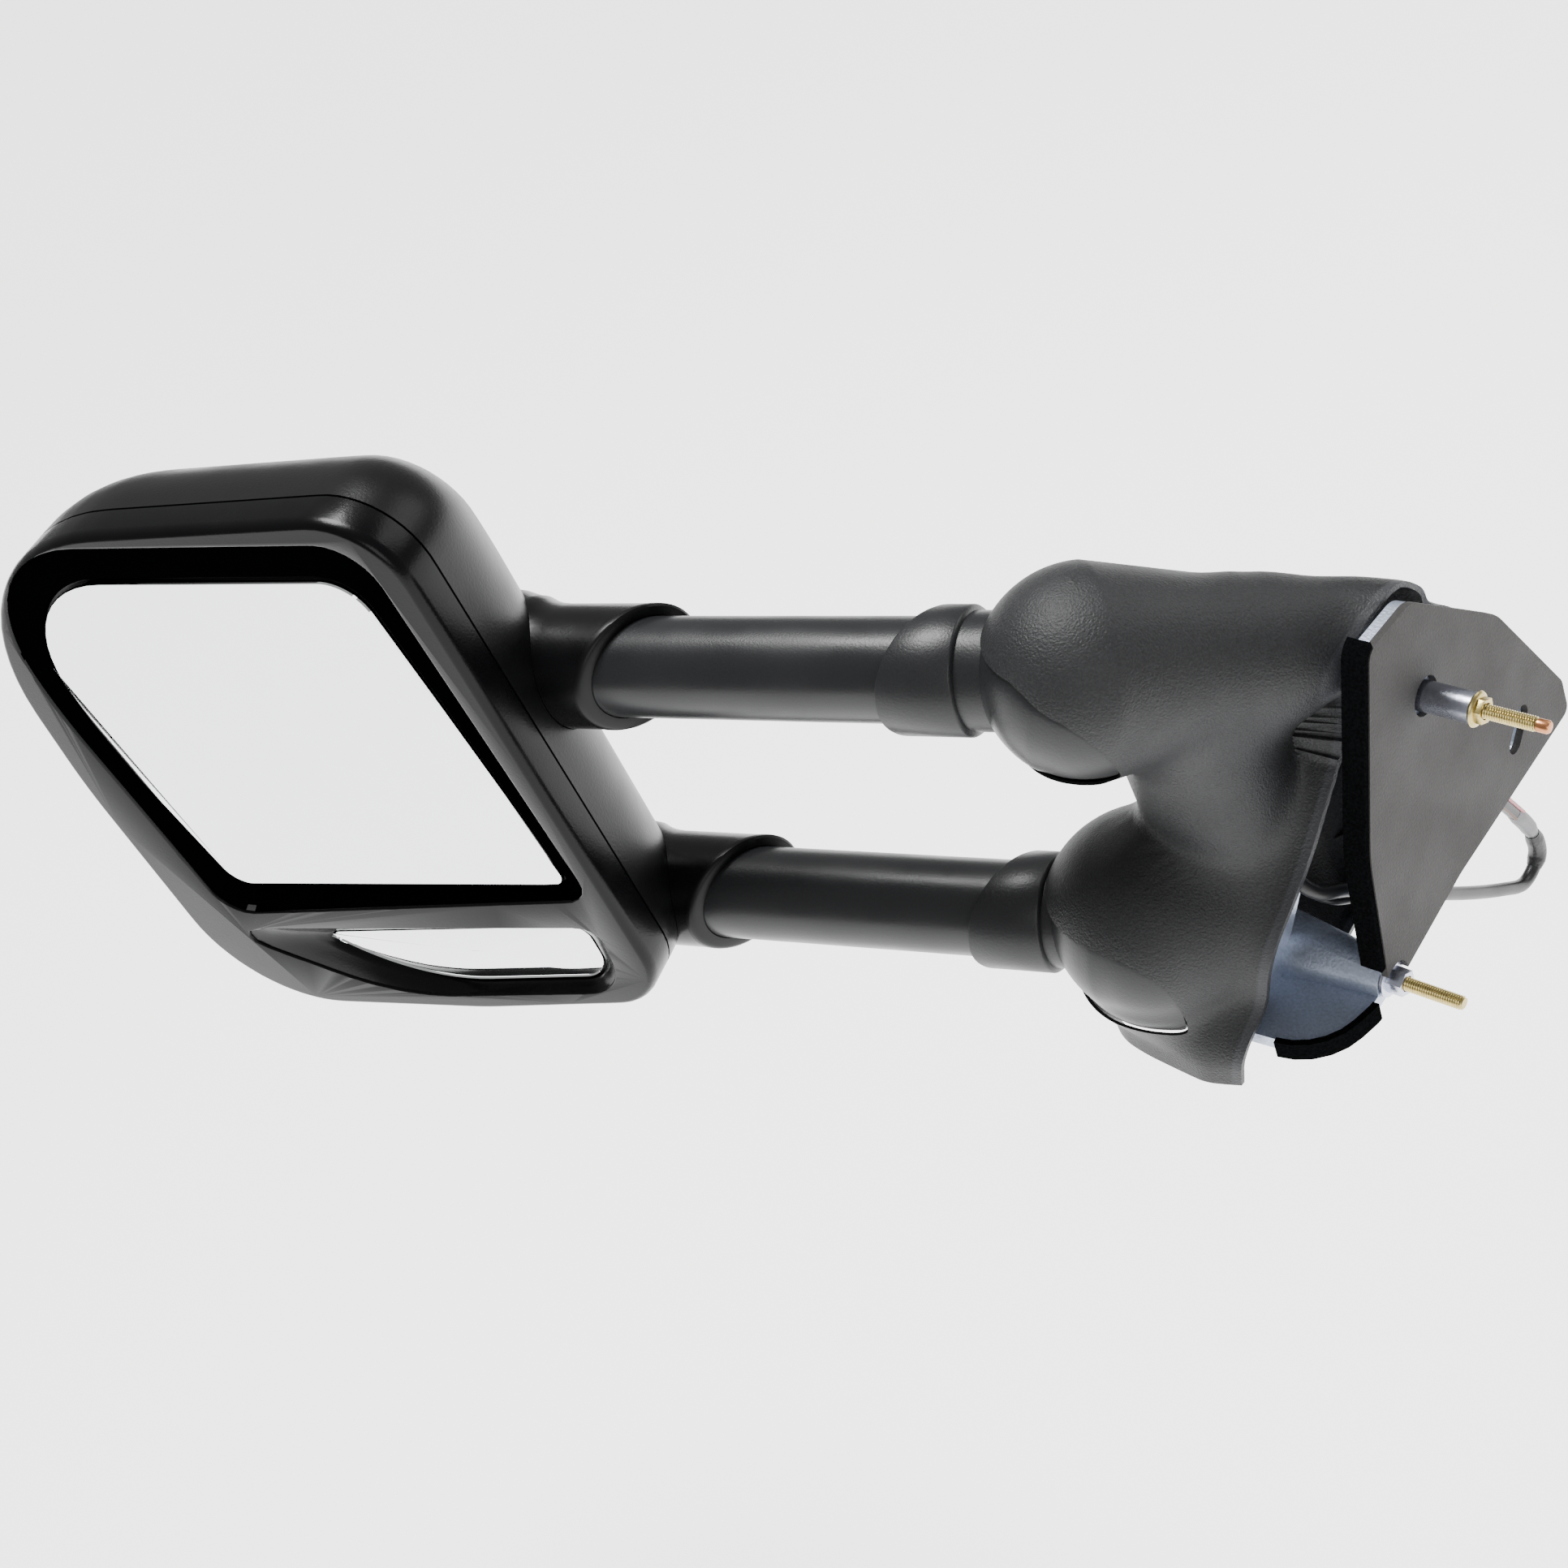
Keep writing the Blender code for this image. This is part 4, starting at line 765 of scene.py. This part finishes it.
def recess(mouth, glass):
    """Cutter for a glass recess with a rolled mouth: it narrows to the glass."""
    inner = rounded(glass, GLASS_ARC_STEPS)
    centre = (sum(p[0] for p in inner) / len(inner), sum(p[1] for p in inner) / len(inner))
    narrow = around(inset(inner, -0.0006), centre, RECESS_SIDES)
    mouth_line = rounded(mouth, GLASS_ARC_STEPS)
    wide = around(mouth_line, centre, RECESS_SIDES)
    rings = [at_y(around(inset(mouth_line, -0.0012), centre, RECESS_SIDES), RIM_Y - 0.0030)]
    for spread_by, deep in ((0.0009, 0.0), (0.0004, 0.0002), (0.0001, 0.0006), (0.0, 0.0012)):
        rings.append(at_y(around(inset(mouth_line, -spread_by), centre, RECESS_SIDES),
                          RIM_Y + deep))
    for share in (0.25, 0.5, 0.75, 0.92):
        bowl = share ** 1.25
        rings.append(at_y(wide * (1 - share) + narrow * share,
                          RIM_Y + 0.0012 + 0.0058 * bowl))
    rings.append(at_y(narrow, RIM_Y + 0.0086))
    behind = around(inset(inner, -0.0062), centre, RECESS_SIDES)
    rings += [at_y(behind, RIM_Y + 0.0088), at_y(behind, -0.030)]
    return skinned("recess", rings, ARM)


def inside_of(outline, x, z):
    """Whether a point lies within a closed outline."""
    crossings = 0
    for (x0, z0), (x1, z1) in zip(outline, outline[1:] + outline[:1]):
        if (z0 > z) != (z1 > z) and x < x0 + (z - z0) / (z1 - z0) * (x1 - x0):
            crossings += 1
    return crossings % 2 == 1


def make_bezel():
    """Front frame with a rolled outer edge and the two recesses."""
    rings = []
    edge = rounded(HEAD, ARC_STEPS)
    for inward, y in ((0.0008, SEAM_Y - GAP), (0.0, SEAM_Y - GAP - 0.0008),
                      (0.0, RIM_Y + 0.0050), (0.0003, RIM_Y + 0.0034), (0.0009, RIM_Y + 0.0018),
                      (0.0017, RIM_Y + 0.0007), (0.0026, RIM_Y + 0.0001), (0.0034, RIM_Y)):
        rings.append(at_y(around(inset(edge, inward), HEAD_CENTRE, HEAD_SIDES), y))
    bezel = skinned("bezel_skin", rings, ARM, BEZEL_FINISH)
    cavity = around(inset(edge, 0.0030), HEAD_CENTRE, HEAD_SIDES)
    hollow = skinned("bezel_hollow", [at_y(cavity, -0.030), at_y(cavity, RIM_Y + 0.0095)], ARM)
    carved(bezel, hollow, recess(MAIN_OPENING, MAIN_GLASS), recess(SPOT_OPENING, SPOT_GLASS))
    # The recess faces inside the main mouth get the darker flange colour: painted shade in the
    # recess on the bezel's own black plastic.
    bezel.data.materials.append(FLANGE_PAINTED_SHADE)
    mouth = rounded(MAIN_OPENING, GLASS_ARC_STEPS)
    for face in bezel.data.polygons:
        x, y, z = ARM.inverted() @ face.center
        if y > RIM_Y + 0.0009 and z > -0.005 and inside_of(mouth, x, z):
            face.material_index = 1
    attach(bezel, "head")
    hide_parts("head_bezel")


def make_glass(which, outline, front, dome):
    """A pane with a ground edge; the spotter's front is gently domed."""
    flat = rounded(outline, GLASS_ARC_STEPS)
    centre = (sum(p[0] for p in flat) / len(flat), sum(p[1] for p in flat) / len(flat))
    rings = [at_y(inset(flat, 0.0006), front + 0.0030), at_y(inset(flat, 0.0006), front + 0.0008),
             at_y(inset(flat, 0.0011), front + dome)]
    for share in (0.9, 0.8, 0.6, 0.4, 0.2, 0.05) if dome else ():
        ring = [(centre[0] + (x - centre[0]) * share, centre[1] + (z - centre[1]) * share)
                for x, z in inset(flat, 0.0011)]
        rings.append(at_y(ring, front + dome * share ** 2))
    glass = skinned(f"{which}_mirror_pane", rings, ARM, GLASS_FINISH, smooth=25)
    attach(glass, f"{which}_mirror")
    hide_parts(f"{which}_glass")


SLEEVE_PROFILE = [
    (-0.3000, 0.0262), (-0.2560, 0.0262), (-0.2554, 0.0322), (-0.2530, 0.0319),
    (-0.2490, 0.0308), (-0.2450, 0.0298), (-0.2425, 0.0296), (-0.2400, 0.0284),
    (-0.2365, 0.0272), (-0.2330, 0.0266), (-0.2290, 0.0262), (-0.1500, 0.0262)]


def make_sleeve(which):
    """Sleeve on a tube: a slanted end with a black rim, and a root that flares to the shell."""
    height = LEAVES[which][0]
    sleeve = lathed(f"{which}_sleeve_skin", SLEEVE_PROFILE, (0, 0, height), (1, 0, 0), ARM,
                    SLEEVE_FINISH, joined=False)
    slant = ARM @ Matrix.Translation((SLEEVE_END, 0, height))
    slant = slant @ Matrix.Rotation(-SLEEVE_LEAN, 4, "Z")
    end = block("sleeve_end", (-0.0030, -0.0600, -0.0500), (0.0900, 0.0600, 0.0500), slant)
    bore = lathed("bore", [(-0.3200, TUBE_R + GAP), (-0.1400, TUBE_R + GAP)], (0, 0, height),
                  (1, 0, 0), ARM, joined=False)
    seat = lathed("seat", [(-0.3200, 0.0235), (-0.2360, 0.0235)], (0, 0, height), (1, 0, 0),
                  ARM, joined=False)
    carved(sleeve, bore, end, seat)
    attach(sleeve, "head")
    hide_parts(f"{which}_sleeve")
    lean = math.tan(SLEEVE_LEAN)
    rings = []
    for radius, back in ((0.0214, 0.0), (0.0251, 0.0), (0.0262, 0.0008), (0.0264, 0.0018),
                         (0.0264, 0.0030), (0.0258, 0.0034), (0.0214, 0.0034)):
        rings.append([(SLEEVE_END - back / math.cos(SLEEVE_LEAN) + y * lean, y, z)
                      for _, y, z in ring_x(0, radius, height)])
    rim = skinned(f"{which}_sleeve_rim", rings, ARM, RIM_FINISH, joined=True)
    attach(rim, "head")


make_back_shell()
make_bezel()
make_glass("main", MAIN_GLASS, MAIN_GLASS_Y, 0.0)
make_glass("spotter", SPOT_GLASS, SPOT_GLASS_Y, SPOT_DOME)
for arm in LEAVES:
    make_sleeve(arm)


# ---------------------------------------------------------------- studs, nuts and bracket
def threaded(name, start, length, y, z, finish):
    """A threaded rod along X, its groove cut as a helix round it."""
    sides, per_turn = 48, 12
    rows = round(length / THREAD_PITCH * per_turn)
    rings = []
    for row in range(rows + 1):
        along = length * row / rows
        ring = []
        for i in range(sides):
            turn = 2 * math.pi * i / sides
            phase = (along / THREAD_PITCH - i / sides) % 1
            depth = THREAD_DEPTH * (1 - abs(2 * phase - 1)) ** 0.8
            ends = min(1.0, min(along, length - along) / 0.0010)
            radius = STUD_R - 0.0005 * (1 - ends) - depth
            ring.append((start + along, y + radius * math.cos(turn),
                         z + radius * math.sin(turn)))
        rings.append(ring)
    return skinned(name, rings, ROW, finish, smooth=30)


def make_fixings():
    """Both studs, the spacer, the copper tip, the upper nut's flange and the lower washer."""
    y, z = STUD_UPPER
    upper = threaded("stud_upper_thread", STUD_START, 0.0740, y, z, GOLD_FINISH)
    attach(upper, "base")
    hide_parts("stud_upper")
    standoff = lathed("standoff_skin", [(-0.0030, 0.0033), (-0.0030, 0.0062), (0.0200, 0.0062),
                                        (0.0205, 0.0057), (0.0205, 0.0033)],
                      (0, y, z), (1, 0, 0), ROW, ZINC_FINISH, 64)
    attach(standoff, "base")
    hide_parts("standoff_upper")
    tip = lathed("stud_upper_tip", [(0.0452, 0.0026), (0.0490, 0.0026), (0.0498, 0.0021),
                                    (0.0500, 0.0012)], (0, y, z), (1, 0, 0), ROW,
                 COPPER_FINISH, 48, joined=False)
    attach(tip, "base")
    flange = lathed("nut_upper_flange", [(0.0206, 0.0033), (0.0206, 0.0068), (0.0210, 0.0071),
                                         (0.0216, 0.0068), (0.0222, 0.0058), (0.0222, 0.0033)],
                    (0, y, z), (1, 0, 0), ROW, GOLD_FINISH, 64)
    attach(flange, "base")
    y, z = STUD_LOWER
    lower = threaded("stud_lower_thread", STUD_START, 0.0580, y, z, GOLD_FINISH)
    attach(lower, "base")
    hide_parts("stud_lower")
    washer = lathed("nut_lower_washer", [(-0.0036, 0.0033), (-0.0036, 0.0080),
                                         (-0.0024, 0.0080), (-0.0022, 0.0074),
                                         (-0.0022, 0.0033)],
                    (0, y, z), (1, 0, 0), ROW, ZINC_FINISH, 64)
    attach(washer, "base")


make_fixings()

# ---------------------------------------------------------------- finishes of the shown nodes
FINISHES = {
    PAD_FINISH: ["mount_gasket"],
    FOAM_FINISH: ["edge_seal", "shelf_seal"],
    CAST_FINISH: ["base_bracket", "upper_knuckle", "lower_knuckle"],
    ZINC_FINISH: ["nut_lower"],
    GOLD_FINISH: ["nut_upper"],
    STEEL_FINISH: ["upper_pivot_pin", "lower_pivot_pin", "upper_pin_clip", "lower_pin_clip",
                   "fold_spring"],
    INNER_FINISH: ["main_glass_holder", "spotter_glass_holder", "main_gimbal",
                   "spotter_gimbal", "actuator_housing", "head_frame", "spotter_carrier",
                   "pan_plunger", "tilt_plunger", "upper_guide_bush", "lower_guide_bush",
                   "harness_connector"],
}
for finish, names in FINISHES.items():
    for name in names:
        shown = nodes[name]
        shown.data.materials.clear()
        shown.data.materials.append(finish)
        normals = shown.data.attributes.get("custom_normal")
        if normals:
            shown.data.attributes.remove(normals)
        shown.data.shade_smooth()
        softened(shown, 0.0003 if name in ("nut_upper", "nut_lower") else 0.0)

# ---------------------------------------------------------------- floor and light
FLOOR_Z = -0.60
pale, pale_nodes, pale_links, pale_shader = graph("pale_floor")
spot = pale_nodes.new("ShaderNodeTexCoord").outputs["Object"]
cloudy = noise(pale_nodes, pale_links, spot, 0.4)
pale_links.new(blended(pale_nodes, pale_links, cloudy, (0.86, 0.86, 0.86), (0.88, 0.88, 0.88)),
               pale_shader.inputs["Base Color"])
pale_shader.inputs["Roughness"].default_value = 0.9
pale_shader.inputs["Emission Color"].default_value = (1, 1, 1, 1)
pale_shader.inputs["Emission Strength"].default_value = 2.6
floor = skinned("floor", [[(-5, -5, z), (5, -5, z), (5, 5, z), (-5, 5, z)]
                          for z in (FLOOR_Z - 0.02, FLOOR_Z)], ROW, pale)


def softbox(name, location, aim, size, power):
    """A square area light aimed at a point."""
    data = bpy.data.lights.new(name, "AREA")
    data.size = size
    data.energy = power
    made = bpy.data.objects.new(name, data)
    made.location = location
    made.rotation_mode = "QUATERNION"
    made.rotation_quaternion = (Vector(aim) - Vector(location)).to_track_quat("-Z", "Y")
    bpy.context.scene.collection.objects.link(made)


softbox("key", (-0.6, 0.1, 1.5), (-0.2, -0.1, 0.05), 0.55, 42)
softbox("fill", (1.3, -1.1, 1.0), (-0.2, -0.1, 0.0), 1.0, 10)
softbox("front", (0.5, 1.5, 1.1), (-0.1, 0.0, 0.0), 1.0, 10)
world = bpy.data.worlds.new("studio")
world.use_nodes = True
world.node_tree.nodes["Background"].inputs["Color"].default_value = (1.0, 1.0, 1.0, 1)
world.node_tree.nodes["Background"].inputs["Strength"].default_value = 0.4
bpy.context.scene.world = world
